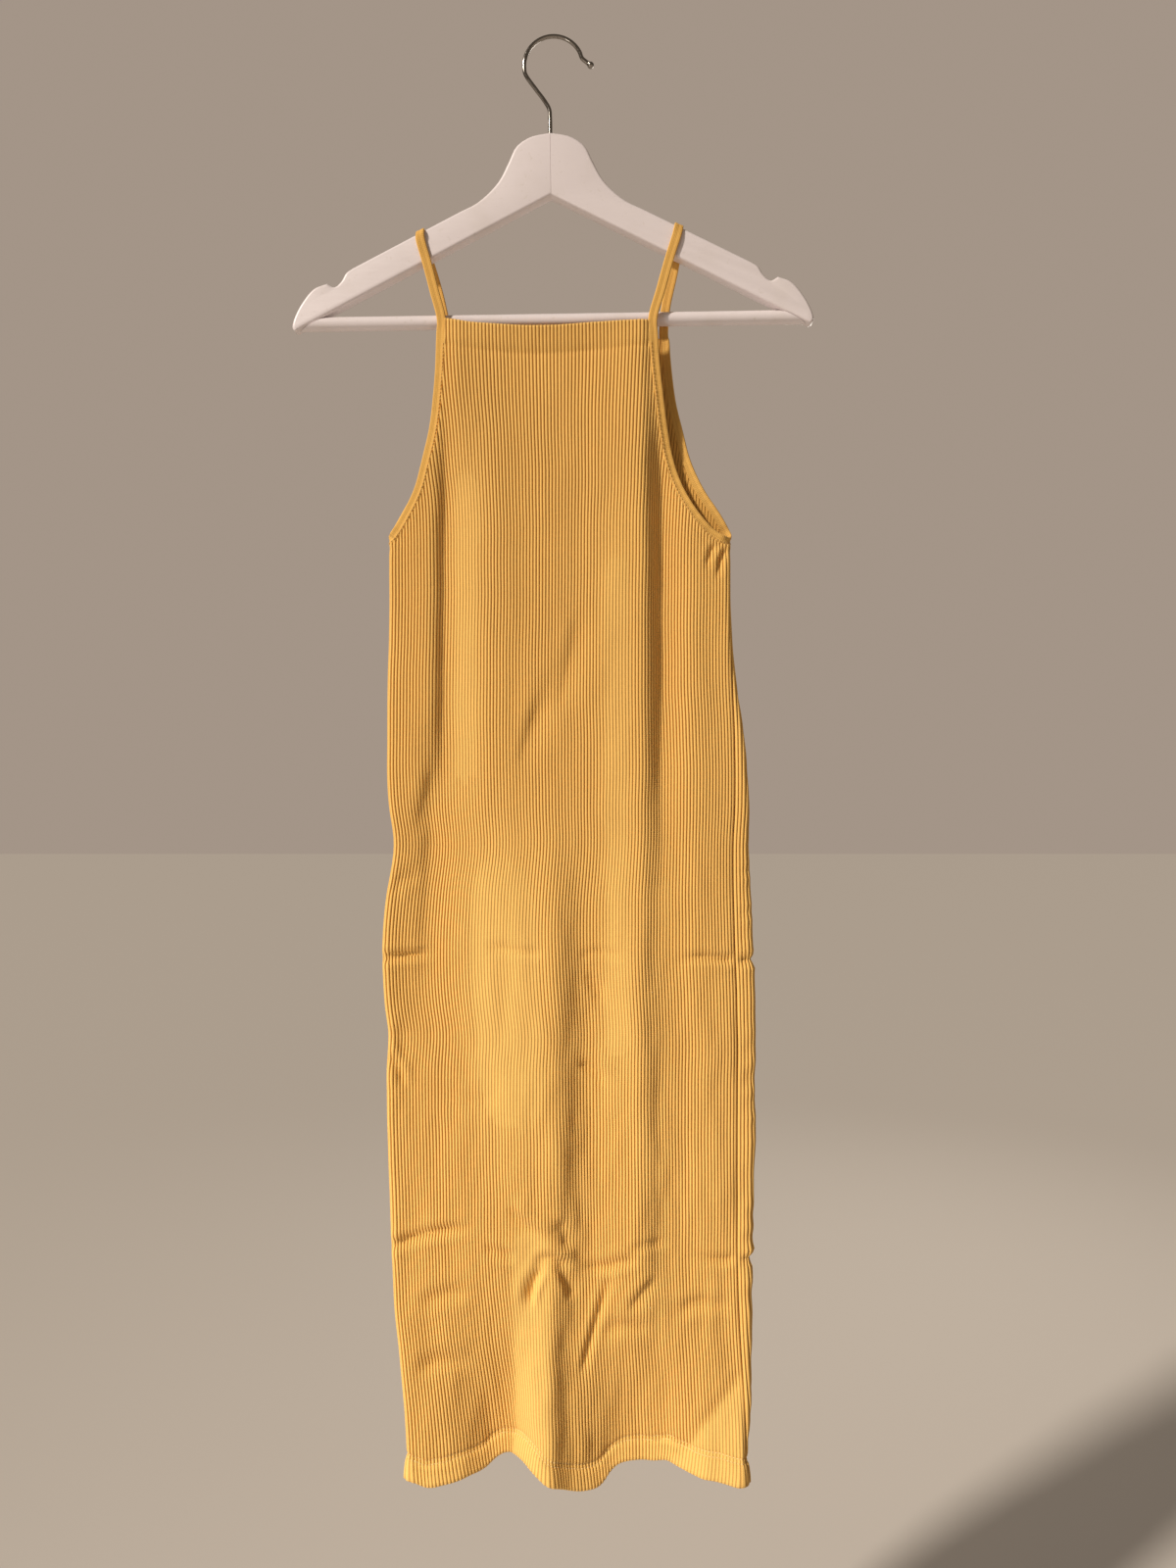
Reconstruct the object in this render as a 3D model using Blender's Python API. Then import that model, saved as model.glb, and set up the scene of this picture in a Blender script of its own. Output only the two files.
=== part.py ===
# A ribbed midi dress with thin straps, hanging on a wooden hanger with a round bar and a metal hook.
# Metres, +Z up, +X to the viewer's right, -Y towards the viewer.
# The origin is the inner top of the hook, where a peg or rail carries it.
# All sizes in the tables are in millimetres and become metres when a mesh is made.

import math
from collections import namedtuple

import bmesh
import bpy
import numpy as np
from mathutils import Matrix

MM = 0.001

# Cloth
RIBS_PER_PANEL = 111
POINTS_PER_RIB = 2
COLUMNS = RIBS_PER_PANEL * POINTS_PER_RIB
INSIDE_EVERY = 3            # the plain inside has one column for this many outside ones
WALL = 1.2                  # knit without its ribs
HEM_WALL = 2.1              # two layers of knit in the turned hems
RIB_HEIGHT = 0.7
SEAM_GAP = 0.3              # between the two panels at a side seam
LAYER_GAP = 5.6             # least distance from the front's face to the back's face
EDGE_GAP = 7.0              # the same where the panels turn into each other at the sides
EDGE_TURN = 5.0             # how far in from the side the turn begins
EDGE_REACH = 24.0           # how far in from the side its depth is felt
HEM_HEIGHT = -1181.0        # lowest height of the cloth
HEM_DEPTH = 18.0            # turned hem at the bottom
NECK_HEM_DEPTH = 21.0       # turned hem at the neckline
HEM_LIFT = 0.27             # how much the hem rises for each millimetre that it runs back
HEM_LIFT_TOP = -1000.0      # above this no row rises with it
HEM_LIFT_FADE = 150.0
HEM_FRONT = -16.0           # depth of the hem's most forward part
SECTION_POINTS = 900        # close points round one level section
UNDERARM = -417.5           # height where the armholes start
YOKE = -430.0               # below this the rows are level
NECK_STRETCH = 1.14         # the straps pull the ribs apart at the neckline

# Straps, which run on as the armhole bindings
STRAP_WIDTH = 7.6
STRAP_THICKNESS = 2.3
STRAP_STATIONS = 66
# Stations stand closer together at the underarm and over the arm: heights, and how much closer.
STRAP_SPACING = (
    (-409.0, 3.0), (-400.0, 1.0), (-246.0, 1.0),
    (-236.0, 0.6), (-182.0, 0.6), (-171.0, 4.0),
)
STRAP_CORNER = 0.85         # where the strap bends over the arm's edge, as a share of its place on the face
STRAP_DROP = 0.7            # and how far below the middle of the bend
BINDING_GAP = 0.5           # between a binding and the panel that it edges
STRAP_CLEARANCE = 0.55      # between a strap and the arm that it crosses
BAR_CLEARANCE = 0.3         # between the bar's ends and the arms

# Hanger
HANGER_CENTRE = -3.6        # the hanger hangs with its middle a little left of the peg
HANGER_TILT = math.radians(0.9)
ARM_THICKNESS = 12.0
ARM_EDGE = 2.2
BAR_HEIGHT = -232.0
BAR_RADIUS = 5.6
BAR_SIDES = 20
WIRE_RADIUS = 1.65
WIRE_SIDES = 8
HOOK_RADIUS = 24.15         # to the wire's centre
BALL_RADIUS = 2.7
STEM_DEPTH = 14.0           # how far the hook's stem goes into the head
STEM_CLEARANCE = 0.35
HEAD_TOP = -80.0

# The dress by height: its two sides, how far forward the front and how far back the back lie in the middle,
# how far forward the front's face is at each side, and how far the back panel comes round the right side.
Section = namedtuple("Section", "height left right front back left_face right_face wrap")
SECTIONS = (
    Section(-1186, -115.0, 152.6, -16.0, 13.0, -14.0, -15.0, 1.0),
    Section(-1168, -117.6, 155.6, -15.4, 13.0, -13.0, -14.5, 1.5),
    Section(-1141, -119.0, 157.4, -14.5, 12.5, -12.0, -13.5, 3.0),
    Section(-1099, -122.6, 159.3, -12.8, 12.0, -10.0, -12.0, 7.0),
    Section(-1055, -127.8, 160.6, -11.5, 11.5, -8.5, -11.0, 11.0),
    Section(-1013, -131.2, 161.6, -10.8, 11.0, -7.5, -10.0, 13.5),
    Section(-960, -133.4, 163.0, -10.2, 10.5, -6.5, -9.0, 15.0),
    Section(-903, -135.6, 164.2, -9.8, 10.0, -6.0, -8.5, 16.0),
    Section(-845, -136.4, 164.8, -9.4, 9.5, -5.5, -8.0, 16.5),
    Section(-816, -135.0, 165.4, -9.2, 9.2, -5.2, -8.0, 17.0),
    Section(-794, -138.0, 165.2, -9.0, 9.0, -5.0, -7.8, 17.0),
    Section(-752, -140.0, 163.6, -8.8, 8.8, -5.0, -7.4, 17.0),
    Section(-706, -137.0, 161.4, -8.5, 8.5, -4.8, -7.0, 16.0),
    Section(-662, -130.8, 159.6, -8.3, 8.2, -4.6, -6.8, 14.5),
    Section(-626, -134.8, 159.7, -8.2, 8.0, -4.5, -6.5, 13.0),
    Section(-581, -135.6, 156.4, -8.0, 7.6, -4.3, -6.0, 10.0),
    Section(-520, -134.9, 148.6, -8.0, 7.0, -4.0, -5.0, 4.0),
    Section(-476, -134.0, 145.4, -8.0, 6.8, -3.8, -4.2, 1.0),
    Section(-418, -134.0, 145.0, -8.2, 6.6, -3.6, -3.8, 0.0),
    Section(-330, -134.0, 145.0, -8.8, 7.0, -4.0, -4.0, 0.0),
    Section(-222, -134.0, 145.0, -9.6, 7.6, -4.0, -4.0, 0.0),
)

# The long folds: where a fold runs, how wide it is on each side, how square its floor is, and how deep it is.
# Depth is along Y, so a forward ridge has a negative depth. A fold fades in over the two fade lengths.
FOLD_COLUMNS = "name top bottom x_top x_bottom left_half right_half square depth fade_top fade_bottom"
Fold = namedtuple("Fold", FOLD_COLUMNS)
FRONT_FOLDS = (
    Fold("left strap groove", -275, -800, -95, -105, 10, 8.5, 2, 8.0, 110, 260),
    Fold("left strap ridge", -225, -640, -84, -83, 7, 15, 2, -2.2, 10, 240),
    Fold("right strap groove", -275, -860, 89.5, 94, 8.5, 12, 2, 8.5, 110, 300),
    Fold("right strap ridge", -225, -900, 75, 77, 24, 7.5, 2, -4.0, 10, 300),
    Fold("left hollow", -560, -1090, -101, -112, 24, 46, 2, 8.5, 160, 200),
    Fold("middle ridge", -480, -1250, -4, -3, 62, 15, 2, -5.5, 220, 10),
    Fold("middle valley", -560, -1120, 31, 37, 18, 20, 2, 7.0, 160, 110),
    Fold("right ridge", -620, -1120, 69, 71, 22, 15, 2, -4.0, 160, 120),
    Fold("right valley", -700, -1110, 95, 98, 14, 20, 2, 4.5, 160, 120),
    Fold("left hem valley", -1010, -1300, -50, -36, 34, 18, 2.4, 27.0, 190, 10),
    Fold("right hem valley", -1020, -1300, 56, 72, 32, 46, 3.6, 27.0, 180, 10),
)
BACK_FOLDS = (
    Fold("left strap groove", -300, -760, -84, -92, 13, 13, 2, -3.5, 120, 240),
    Fold("right strap groove", -300, -780, 86, 90, 13, 13, 2, -3.5, 120, 240),
    Fold("middle roll", -470, -1300, -14, -34, 44, 40, 2, 4.5, 260, 10),
    Fold("right valley", -600, -1300, 40, 10, 24, 26, 2, -6.0, 240, 10),
    Fold("right roll", -640, -1300, 92, 70, 30, 34, 2.6, 4.0, 240, 10),
    Fold("left valley", -700, -1300, -78, -84, 22, 22, 2, -4.5, 240, 10),
)

# The cut edges: the neckline by its distance along X, and each armhole as the panel's edge by height.
NeckPoint = namedtuple("NeckPoint", "x height")
FRONT_NECK = (
    NeckPoint(-87, -233.2), NeckPoint(-73, -236.2), NeckPoint(-46, -239.3), NeckPoint(-15, -241.0),
    NeckPoint(5, -240.4), NeckPoint(26, -238.9), NeckPoint(50, -237.2), NeckPoint(78, -234.9),
)
BACK_NECK = (
    NeckPoint(-84, -243.6), NeckPoint(-50, -247.6), NeckPoint(0, -249.4),
    NeckPoint(50, -247.8), NeckPoint(88, -243.8),
)
Armhole = namedtuple("Armhole", "height front_left front_right back_left back_right")
ARMHOLES = (
    Armhole(-418.0, -136.0, 147.0, -136.0, 147.0),
    Armhole(-416.0, -131.0, 136.5, -132.0, 143.0),
    Armhole(-410.0, -125.6, 126.4, -127.6, 139.6),
    Armhole(-395.0, -116.2, 112.6, -118.8, 131.4),
    Armhole(-373.5, -105.6, 99.8, -107.0, 117.2),
    Armhole(-348.5, -98.8, 90.8, -96.8, 105.8),
    Armhole(-324.0, -93.2, 85.8, -90.8, 99.4),
    Armhole(-299.0, -89.9, 82.4, -87.2, 93.4),
    Armhole(-274.0, -87.8, 79.4, -84.6, 90.0),
    Armhole(-250.0, -86.8, 77.6, -83.4, 88.0),
    Armhole(-226.0, -86.2, 77.4, -83.0, 87.4),
)

# The middle of each strap between the panel's corner and the arm, at the front and behind.
StrapPoint = namedtuple("StrapPoint", "side face x height")
STRAP_POINTS = (
    StrapPoint("left", "front", -90.6, -234.2), StrapPoint("left", "front", -96.6, -210.4),
    StrapPoint("left", "front", -103.1, -185.6), StrapPoint("left", "front", -108.1, -167.7),
    StrapPoint("left", "back", -87.6, -243.0), StrapPoint("left", "back", -92.6, -216.0),
    StrapPoint("left", "back", -101.2, -185.0), StrapPoint("left", "back", -107.4, -167.0),
    StrapPoint("right", "front", 81.2, -234.2), StrapPoint("right", "front", 87.7, -210.4),
    StrapPoint("right", "front", 95.0, -183.6), StrapPoint("right", "front", 101.2, -163.8),
    StrapPoint("right", "back", 91.4, -243.0), StrapPoint("right", "back", 94.2, -216.0),
    StrapPoint("right", "back", 99.4, -184.6), StrapPoint("right", "back", 102.6, -163.0),
)

# Half of the hanger's outline, from the top of the head round the arm's end to the middle underneath.
# A smooth stretch is drawn as a curve through its points.
Outline = namedtuple("Outline", "name smooth points")
ARM_OUTLINE = (
    Outline("head", True, ((0, HEAD_TOP), (16, -83.1), (28, -91.1), (34, -103), (43.5, -120.4),
                           (60, -136), (74, -143.1))),
    Outline("shoulder", False, ((74, -143.1), (163, -188.2))),
    Outline("notch", True, ((163, -188.2), (168.4, -192), (172.4, -198.6), (178.2, -203.4), (184.2, -200.4))),
    Outline("end", True, ((184.2, -200.4), (195, -204.6), (205.6, -217.2), (211.6, -229), (213.4, -236))),
    Outline("underside", False, ((213.4, -236), (210.6, -239.4), (205.5, -236.6), (0, -131))),
)
UNDERSIDE_START = (0.0, -131.0)
UNDERSIDE_END = (205.5, -236.6)

MATERIALS = {
    "yellow rib knit": ((0.72, 0.43, 0.10), 0.85, 0.0),
    "yellow binding": ((0.70, 0.39, 0.08), 0.8, 0.0),
    "white painted wood": ((0.82, 0.79, 0.76), 0.45, 0.0),
    "bright metal": ((0.72, 0.70, 0.68), 0.2, 1.0),
}


def clear_scene():
    for obj in list(bpy.data.objects):
        bpy.data.objects.remove(obj, do_unlink=True)


def material(name):
    made = bpy.data.materials.get(name)
    if made:
        return made
    colour, roughness, metallic = MATERIALS[name]
    made = bpy.data.materials.new(name)
    made.use_nodes = True
    shader = made.node_tree.nodes["Principled BSDF"]
    shader.inputs["Base Color"].default_value = (*colour, 1.0)
    shader.inputs["Roughness"].default_value = roughness
    shader.inputs["Metallic"].default_value = metallic
    return made


def add_mesh(name, points, faces, material_name):
    """Makes a named object from points in millimetres, with its faces turned outwards."""
    mesh = bpy.data.meshes.new(name)
    mesh.from_pydata([tuple(MM * float(c) for c in p) for p in points], [], faces)
    body = bmesh.new()
    body.from_mesh(mesh)
    bmesh.ops.recalc_face_normals(body, faces=body.faces)
    body.to_mesh(mesh)
    body.free()
    mesh.materials.append(material(material_name))
    mesh.shade_smooth()
    mesh.set_sharp_from_angle(angle=math.radians(40))
    obj = bpy.data.objects.new(name, mesh)
    bpy.context.scene.collection.objects.link(obj)
    return obj


def smooth_through(knots, values, at):
    """A cubic curve through the values at rising knots, read at one place or at many."""
    knots = np.asarray(knots, float)
    values = np.asarray(values, float)
    slopes = np.gradient(values, knots, axis=0)
    at = np.clip(at, knots[0], knots[-1])
    i = np.clip(np.searchsorted(knots, at) - 1, 0, len(knots) - 2)
    span = knots[i + 1] - knots[i]
    t = (at - knots[i]) / span
    if values.ndim > 1:
        t = t[:, None]
        span = span[:, None]
    start = (2 * t**3 - 3 * t**2 + 1) * values[i] + (t**3 - 2 * t**2 + t) * span * slopes[i]
    end = (3 * t**2 - 2 * t**3) * values[i + 1] + (t**3 - t**2) * span * slopes[i + 1]
    return start + end


def from_table(rows, column, height):
    """One column of a table of rows that rise or fall with height, as a smooth curve."""
    rows = sorted(rows, key=lambda row: row.height)
    return smooth_through([r.height for r in rows], [getattr(r, column) for r in rows], height)


def ease(t):
    t = np.clip(t, 0.0, 1.0)
    return t * t * (3 - 2 * t)


def along_curve(points, count, closed=False, closer=None):
    """Points on a smooth curve through the given ones, at equal steps or closer by a rule of height."""
    points = np.asarray(points, float)
    if closed:
        points = np.vstack([points[-2:], points, points[:3]])
    steps = np.linalg.norm(np.diff(points, axis=0), axis=1)
    knots = np.concatenate([[0.0], np.cumsum(np.sqrt(steps))])
    first, last = (knots[2], knots[-3]) if closed else (knots[0], knots[-1])
    fine = smooth_through(knots, points, np.linspace(first, last, 40 * count))
    steps = np.linalg.norm(np.diff(fine, axis=0), axis=1)
    if closer:
        heights, shares = zip(*closer)
        steps = steps * np.interp(fine[1:, 2], heights, shares)
    length = np.concatenate([[0.0], np.cumsum(steps)])
    where = np.linspace(0.0, length[-1], count + 1)[:-1] if closed else np.linspace(0.0, length[-1], count)
    return np.stack([np.interp(where, length, fine[:, c]) for c in range(fine.shape[1])], axis=1)


def armhole_curve(face, side):
    """A panel's cut edge at an armhole, as close points from the underarm up, by x and height."""
    rows = [(getattr(row, f"{face}_{side}"), row.height) for row in ARMHOLES]
    return along_curve(rows, 160)


# Cloth surfaces

def fold_depths(folds, x, height):
    """What the folds that reach this height add to the depth at each x."""
    total = np.zeros_like(x)
    for fold in folds:
        if not fold.bottom < height < fold.top:
            continue
        strength = ease((fold.top - height) / fold.fade_top) * ease((height - fold.bottom) / fold.fade_bottom)
        share = (fold.top - height) / (fold.top - fold.bottom)
        centre = fold.x_top + (fold.x_bottom - fold.x_top) * share
        half = np.where(x < centre, fold.left_half, fold.right_half)
        total += fold.depth * strength * np.exp(-(np.abs(x - centre) / half) ** fold.square)
    return total


def front_face(x, height):
    left, right = (from_table(SECTIONS, side, height) for side in ("left", "right"))
    middle = from_table(SECTIONS, "front", height)
    near_left = np.exp(-((x - left) / EDGE_REACH) ** 2)
    near_right = np.exp(-((right - x) / EDGE_REACH) ** 2)
    depth = middle + (from_table(SECTIONS, "left_face", height) - middle) * near_left
    depth = depth + (from_table(SECTIONS, "right_face", height) - middle) * near_right
    return depth + fold_depths(FRONT_FOLDS, x, height)


def back_face(x, height):
    """The back's own shape, kept behind the front and drawn to it at the sides."""
    left, right = (from_table(SECTIONS, side, height) for side in ("left", "right"))
    front = front_face(x, height)
    own = from_table(SECTIONS, "back", height) + fold_depths(BACK_FOLDS, x, height)
    at_side = np.maximum(np.exp(-((x - left) / EDGE_REACH) ** 2), np.exp(-((right - x) / EDGE_REACH) ** 2))
    own = own + (front + EDGE_GAP - own) * at_side
    nearest = front + LAYER_GAP
    return nearest + np.logaddexp(0.0, (own - nearest) / 1.5) * 1.5


def closed_section(height):
    """The dress cut level at a height: a closed curve from the middle of the left turn round the front."""
    left, right = (from_table(SECTIONS, side, height) for side in ("left", "right"))
    x = np.linspace(left + EDGE_TURN, right - EDGE_TURN, 420)
    front = front_face(x, height)
    back = back_face(x, height)
    angles = np.linspace(0.0, math.pi / 2, 9)[1:-1]

    def turn(x_end, outward, y_from, y_to):
        middle, half = (y_from + y_to) / 2, (y_to - y_from) / 2
        first = [(x_end + outward * EDGE_TURN * math.sin(a), middle - half * math.cos(a)) for a in angles]
        last = [(x_end + outward * EDGE_TURN * math.cos(a), middle + half * math.sin(a)) for a in angles]
        return first, (x_end + outward * EDGE_TURN, middle), last

    left_back, left_middle, left_front = turn(x[0], -1, back[0], front[0])
    right_front, right_middle, right_back = turn(x[-1], 1, front[-1], back[-1])
    curve = np.array([left_middle, *left_front, *zip(x, front), *right_front, right_middle])
    behind = np.array([right_middle, *right_back, *zip(x[::-1], back[::-1]), *left_back, left_middle])
    lengths = [np.linalg.norm(np.diff(part, axis=0), axis=1).sum() for part in (curve, behind)]
    whole = np.vstack([curve, behind[1:]])
    step = np.concatenate([[0.0], np.cumsum(np.linalg.norm(np.diff(whole, axis=0), axis=1))])
    even = np.linspace(0.0, step[-1], SECTION_POINTS + 1)[:-1]
    points = np.stack([np.interp(even, step, whole[:, c]) for c in (0, 1)], axis=1)
    for _ in range(3):
        points = (np.roll(points, 1, axis=0) + 2 * points + np.roll(points, -1, axis=0)) / 4
    tangent = np.roll(points, -1, axis=0) - np.roll(points, 1, axis=0)
    tangent /= np.linalg.norm(tangent, axis=1)[:, None]
    normal = np.stack([tangent[:, 1], -tangent[:, 0]], axis=1)
    return even, points, normal, lengths[0], step[-1]


class Panel:
    """One cut panel: its columns follow the cloth's ribs from the hem to the neckline or an armhole."""

    def __init__(self, face):
        self.face = face
        self.left_edge, self.right_edge = (armhole_curve(face, side) for side in ("left", "right"))
        self.heights = np.concatenate([np.arange(-1186.0, YOKE, 8.0), np.arange(YOKE, -223.0, 3.0)])
        self.columns = np.arange(COLUMNS + 1)
        placed = [self.place_columns(height) for height in self.heights]
        self.points = np.array([p for p, _ in placed])
        self.normals = np.array([n for _, n in placed])
        self.tops = np.array([self.top_of(column) for column in self.columns])

    def place_columns(self, height):
        """Every column's place and outward direction at one height."""
        even, points, normal, right_side, around = closed_section(height)
        seam = right_side - from_table(SECTIONS, "wrap", height)
        first, last = (0.0, seam) if self.face == "front" else (seam, around)
        first, last = first + SEAM_GAP / 2, last - SEAM_GAP / 2
        where = first + (last - first) * self.columns / COLUMNS
        if height > UNDERARM:
            share = (height - UNDERARM) / (FRONT_NECK[0].height - UNDERARM)
            spread = 1 + (NECK_STRETCH - 1) * float(ease(share))
            middle = first + (last - first) / 2
            where = np.clip(middle + (where - middle) * spread, first, last)
        wrapped_even = np.append(even, around)
        wrapped = [np.vstack([a, a[:1]]) for a in (points, normal)]
        placed = [
            np.stack([np.interp(where, wrapped_even, a[:, c]) for c in (0, 1)], axis=1)
            for a in wrapped
        ]
        placed[1] /= np.linalg.norm(placed[1], axis=1)[:, None]
        return placed

    def at(self, column, height):
        """A column's place and outward direction at any height."""
        i = int(np.clip(np.searchsorted(self.heights, height) - 1, 0, len(self.heights) - 2))
        t = (height - self.heights[i]) / (self.heights[i + 1] - self.heights[i])
        t = min(max(t, 0.0), 1.0)
        point = (1 - t) * self.points[i, column] + t * self.points[i + 1, column]
        normal = (1 - t) * self.normals[i, column] + t * self.normals[i + 1, column]
        return point, normal / np.linalg.norm(normal)

    def neck_height(self, x):
        neck = FRONT_NECK if self.face == "front" else BACK_NECK
        return smooth_through([p.x for p in neck], [p.height for p in neck], x)

    def room(self, column, height):
        """How far a column's place at this height is inside the cut, negative once it is past an edge."""
        x = self.at(column, height)[0][0]
        left = np.interp(height, self.left_edge[:, 1], self.left_edge[:, 0])
        right = np.interp(height, self.right_edge[:, 1], self.right_edge[:, 0])
        return min(x - left, right - x, self.neck_height(x) - height)

    def top_of(self, column):
        low, high = UNDERARM, UNDERARM
        while self.room(column, high) > 0:
            low, high = high, high + 2.0
        for _ in range(12):
            middle = (low + high) / 2
            low, high = (middle, high) if self.room(column, middle) > 0 else (low, middle)
        return low

    def reaches_neck(self, column):
        x = self.at(column, self.tops[column])[0][0]
        return self.tops[column] > self.neck_height(x) - 1.0


def row_heights(panel, column, upper_shares):
    """The heights of one column's points, from the hem to its top."""
    x = panel.at(column, HEM_HEIGHT)[0][0]
    lift = HEM_LIFT * max(0.0, float(front_face(np.array([x]), HEM_HEIGHT)[0]) - HEM_FRONT)
    rising = [height + lift * float(ease((HEM_LIFT_TOP - height) / HEM_LIFT_FADE)) for height in LEVEL_ROWS]
    return rising + [YOKE + share * (panel.tops[column] - YOKE) for share in upper_shares]


def build_panel(name, panel, upper_shares):
    outside, inside = [], []
    for column in range(COLUMNS + 1):
        heights = row_heights(panel, column, upper_shares)
        raised = RIB_HEIGHT if column % POINTS_PER_RIB else 0.0
        at_neck = panel.reaches_neck(column)
        for height in heights:
            point, normal = panel.at(column, height)
            outside.append((*(point + raised * normal), height))
            if column % INSIDE_EVERY == 0:
                in_hem = height < heights[1] + 1
                in_neck_hem = at_neck and height > panel.tops[column] - NECK_HEM_DEPTH - 3
                outer_wall = HEM_WALL if in_hem or in_neck_hem else WALL
                inside.append((*(point - outer_wall * normal), height))
    rows = len(LEVEL_ROWS) + len(upper_shares)
    inner_columns = COLUMNS // INSIDE_EVERY
    base = len(outside)

    def out(column, row):
        return column * rows + row

    def ins(column, row):
        return base + column * rows + row

    faces = []
    for row in range(rows - 1):
        for c in range(COLUMNS):
            faces.append((out(c, row), out(c + 1, row), out(c + 1, row + 1), out(c, row + 1)))
        for c in range(inner_columns):
            faces.append((ins(c, row), ins(c, row + 1), ins(c + 1, row + 1), ins(c + 1, row)))
        faces.append((out(0, row), out(0, row + 1), ins(0, row + 1), ins(0, row)))
        last, inner_last = COLUMNS, inner_columns
        faces.append((out(last, row), ins(inner_last, row), ins(inner_last, row + 1), out(last, row + 1)))
    for row in (0, rows - 1):
        for c in range(inner_columns):
            o = INSIDE_EVERY * c
            rim = [
                (out(o, row), out(o + 1, row), ins(c, row)),
                (out(o + 1, row), ins(c + 1, row), ins(c, row)),
                (out(o + 1, row), out(o + 2, row), ins(c + 1, row)),
                (out(o + 2, row), out(o + 3, row), ins(c + 1, row)),
            ]
            faces += rim if row else [tuple(reversed(face)) for face in rim]
    return add_mesh(name, outside + inside, faces, "yellow rib knit")


# Straps

def armhole_edge(face, side):
    """The binding's middle line beside one panel's armhole, from the neckline's corner to the underarm."""
    outward = -1 if side == "left" else 1
    curve = armhole_curve(face, side)[::-1]
    seam_x = from_table(SECTIONS, side, UNDERARM)
    on_face = (curve[:, 1] < -246.0) & (np.abs(curve[:, 0] - seam_x) > EDGE_TURN + 1.5)
    edge = along_curve(curve[on_face], 17)
    tangent = np.gradient(edge, axis=0)
    tangent /= np.linalg.norm(tangent, axis=1)[:, None]
    away = np.stack([-tangent[:, 1], tangent[:, 0]], axis=1)
    away *= np.sign(away[:, :1]) * outward
    middle = edge + away * (STRAP_WIDTH / 2 + BINDING_GAP)
    surface = front_face if face == "front" else back_face
    inward = 1 if face == "front" else -1
    return [
        (x, float(surface(np.array([x_edge]), h)[0]) + inward * WALL * 0.4, z)
        for (x, z), (x_edge, h) in zip(middle, edge)
    ]


def arm_top(x):
    """Height of the arm's upper edge, and its slope, where a strap crosses it at x."""
    (u0, z0), (u1, z1) = ARM_OUTLINE[1].points
    u = abs(x + z0 * math.sin(HANGER_TILT) - HANGER_CENTRE)
    side = 1 if x > HANGER_CENTRE else -1
    slope = (z1 - z0) / (u1 - u0)
    height = z0 + slope * (u - u0) + x * math.sin(HANGER_TILT)
    return height, math.atan(slope) * side + HANGER_TILT


def strap_route(side):
    """The middle line of one strap with the way that its outer face looks, as a closed loop."""
    outward = -1 if side == "left" else 1
    rows = {
        face: [p for p in STRAP_POINTS if p.side == side and p.face == face]
        for face in ("front", "back")
    }
    off_arm = ARM_THICKNESS / 2 + STRAP_CLEARANCE + STRAP_THICKNESS / 2
    seam_x = from_table(SECTIONS, side, UNDERARM)
    route = []

    def strap_depth(point, corner_depth):
        """Against the arm's face at the top, and out to the panel's face at its corner."""
        share = ease((-184.0 - point.height) / 46.0)
        return off_arm + (corner_depth - off_arm) * float(share)

    front_edge = armhole_edge("front", side)
    back_edge = armhole_edge("back", side)
    for point in reversed(front_edge):
        route.append((point, (0.12 * outward, -1, 0)))
    for point in rows["front"]:
        route.append(((point.x, -strap_depth(point, -front_edge[0][1]), point.height), (0, -1, 0)))
    crossing = (rows["front"][-1].x + rows["back"][-1].x) / 2 + outward * 0.6
    height, slope = arm_top(crossing)
    over = height + (STRAP_CLEARANCE + STRAP_THICKNESS / 2 + 0.3) / math.cos(slope)
    up = (-math.sin(slope), 0, math.cos(slope))
    corner = off_arm * STRAP_CORNER
    route.append(((crossing, -corner, over - STRAP_DROP), (1.4 * up[0], -1.0, 1.4 * up[2])))
    route.append(((crossing, 0.0, over), up))
    route.append(((crossing, corner, over - STRAP_DROP), (1.4 * up[0], 1.0, 1.4 * up[2])))
    for point in reversed(rows["back"]):
        route.append(((point.x, strap_depth(point, back_edge[0][1]), point.height), (0, 1, 0)))
    for point in back_edge:
        route.append((point, (0.12 * outward, 1, 0)))
    turn_depth = (front_edge[-1][1] + back_edge[-1][1]) / 2
    turn_height = UNDERARM + BINDING_GAP + STRAP_WIDTH / 2 + 0.3
    route.append(((seam_x - outward * 0.4, turn_depth, turn_height), (outward, 0, 0)))
    return route


def build_strap(name, side):
    route = strap_route(side)
    both = np.array([(*point, *facing) for point, facing in route])
    stations = along_curve(both, STRAP_STATIONS, closed=True, closer=STRAP_SPACING)
    middle, facing = stations[:, :3], stations[:, 3:]
    tangent = np.roll(middle, -1, axis=0) - np.roll(middle, 1, axis=0)
    tangent /= np.linalg.norm(tangent, axis=1)[:, None]
    facing -= (facing * tangent).sum(axis=1)[:, None] * tangent
    facing /= np.linalg.norm(facing, axis=1)[:, None]
    across = np.cross(tangent, facing)
    half_width, half_thickness, shoulder = STRAP_WIDTH / 2, STRAP_THICKNESS / 2, 0.74
    outline = (
        (1, 0), (shoulder, 1), (-shoulder, 1),
        (-1, 0), (-shoulder, -1), (shoulder, -1),
    )
    points = [
        middle[i] + half_width * a * across[i] + half_thickness * b * facing[i]
        for i in range(STRAP_STATIONS) for a, b in outline
    ]
    sides = len(outline)
    faces = [
        (
            i * sides + j,
            i * sides + (j + 1) % sides,
            (i + 1) % STRAP_STATIONS * sides + (j + 1) % sides,
            (i + 1) % STRAP_STATIONS * sides + j,
        )
        for i in range(STRAP_STATIONS) for j in range(sides)
    ]
    return add_mesh(name, points, faces, "yellow binding")


# Hanger

def hang(obj):
    """Tilts a piece of the hanger round the peg, as it hangs in use."""
    obj.matrix_world = Matrix.Rotation(-HANGER_TILT, 4, "Y")
    return obj


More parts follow.
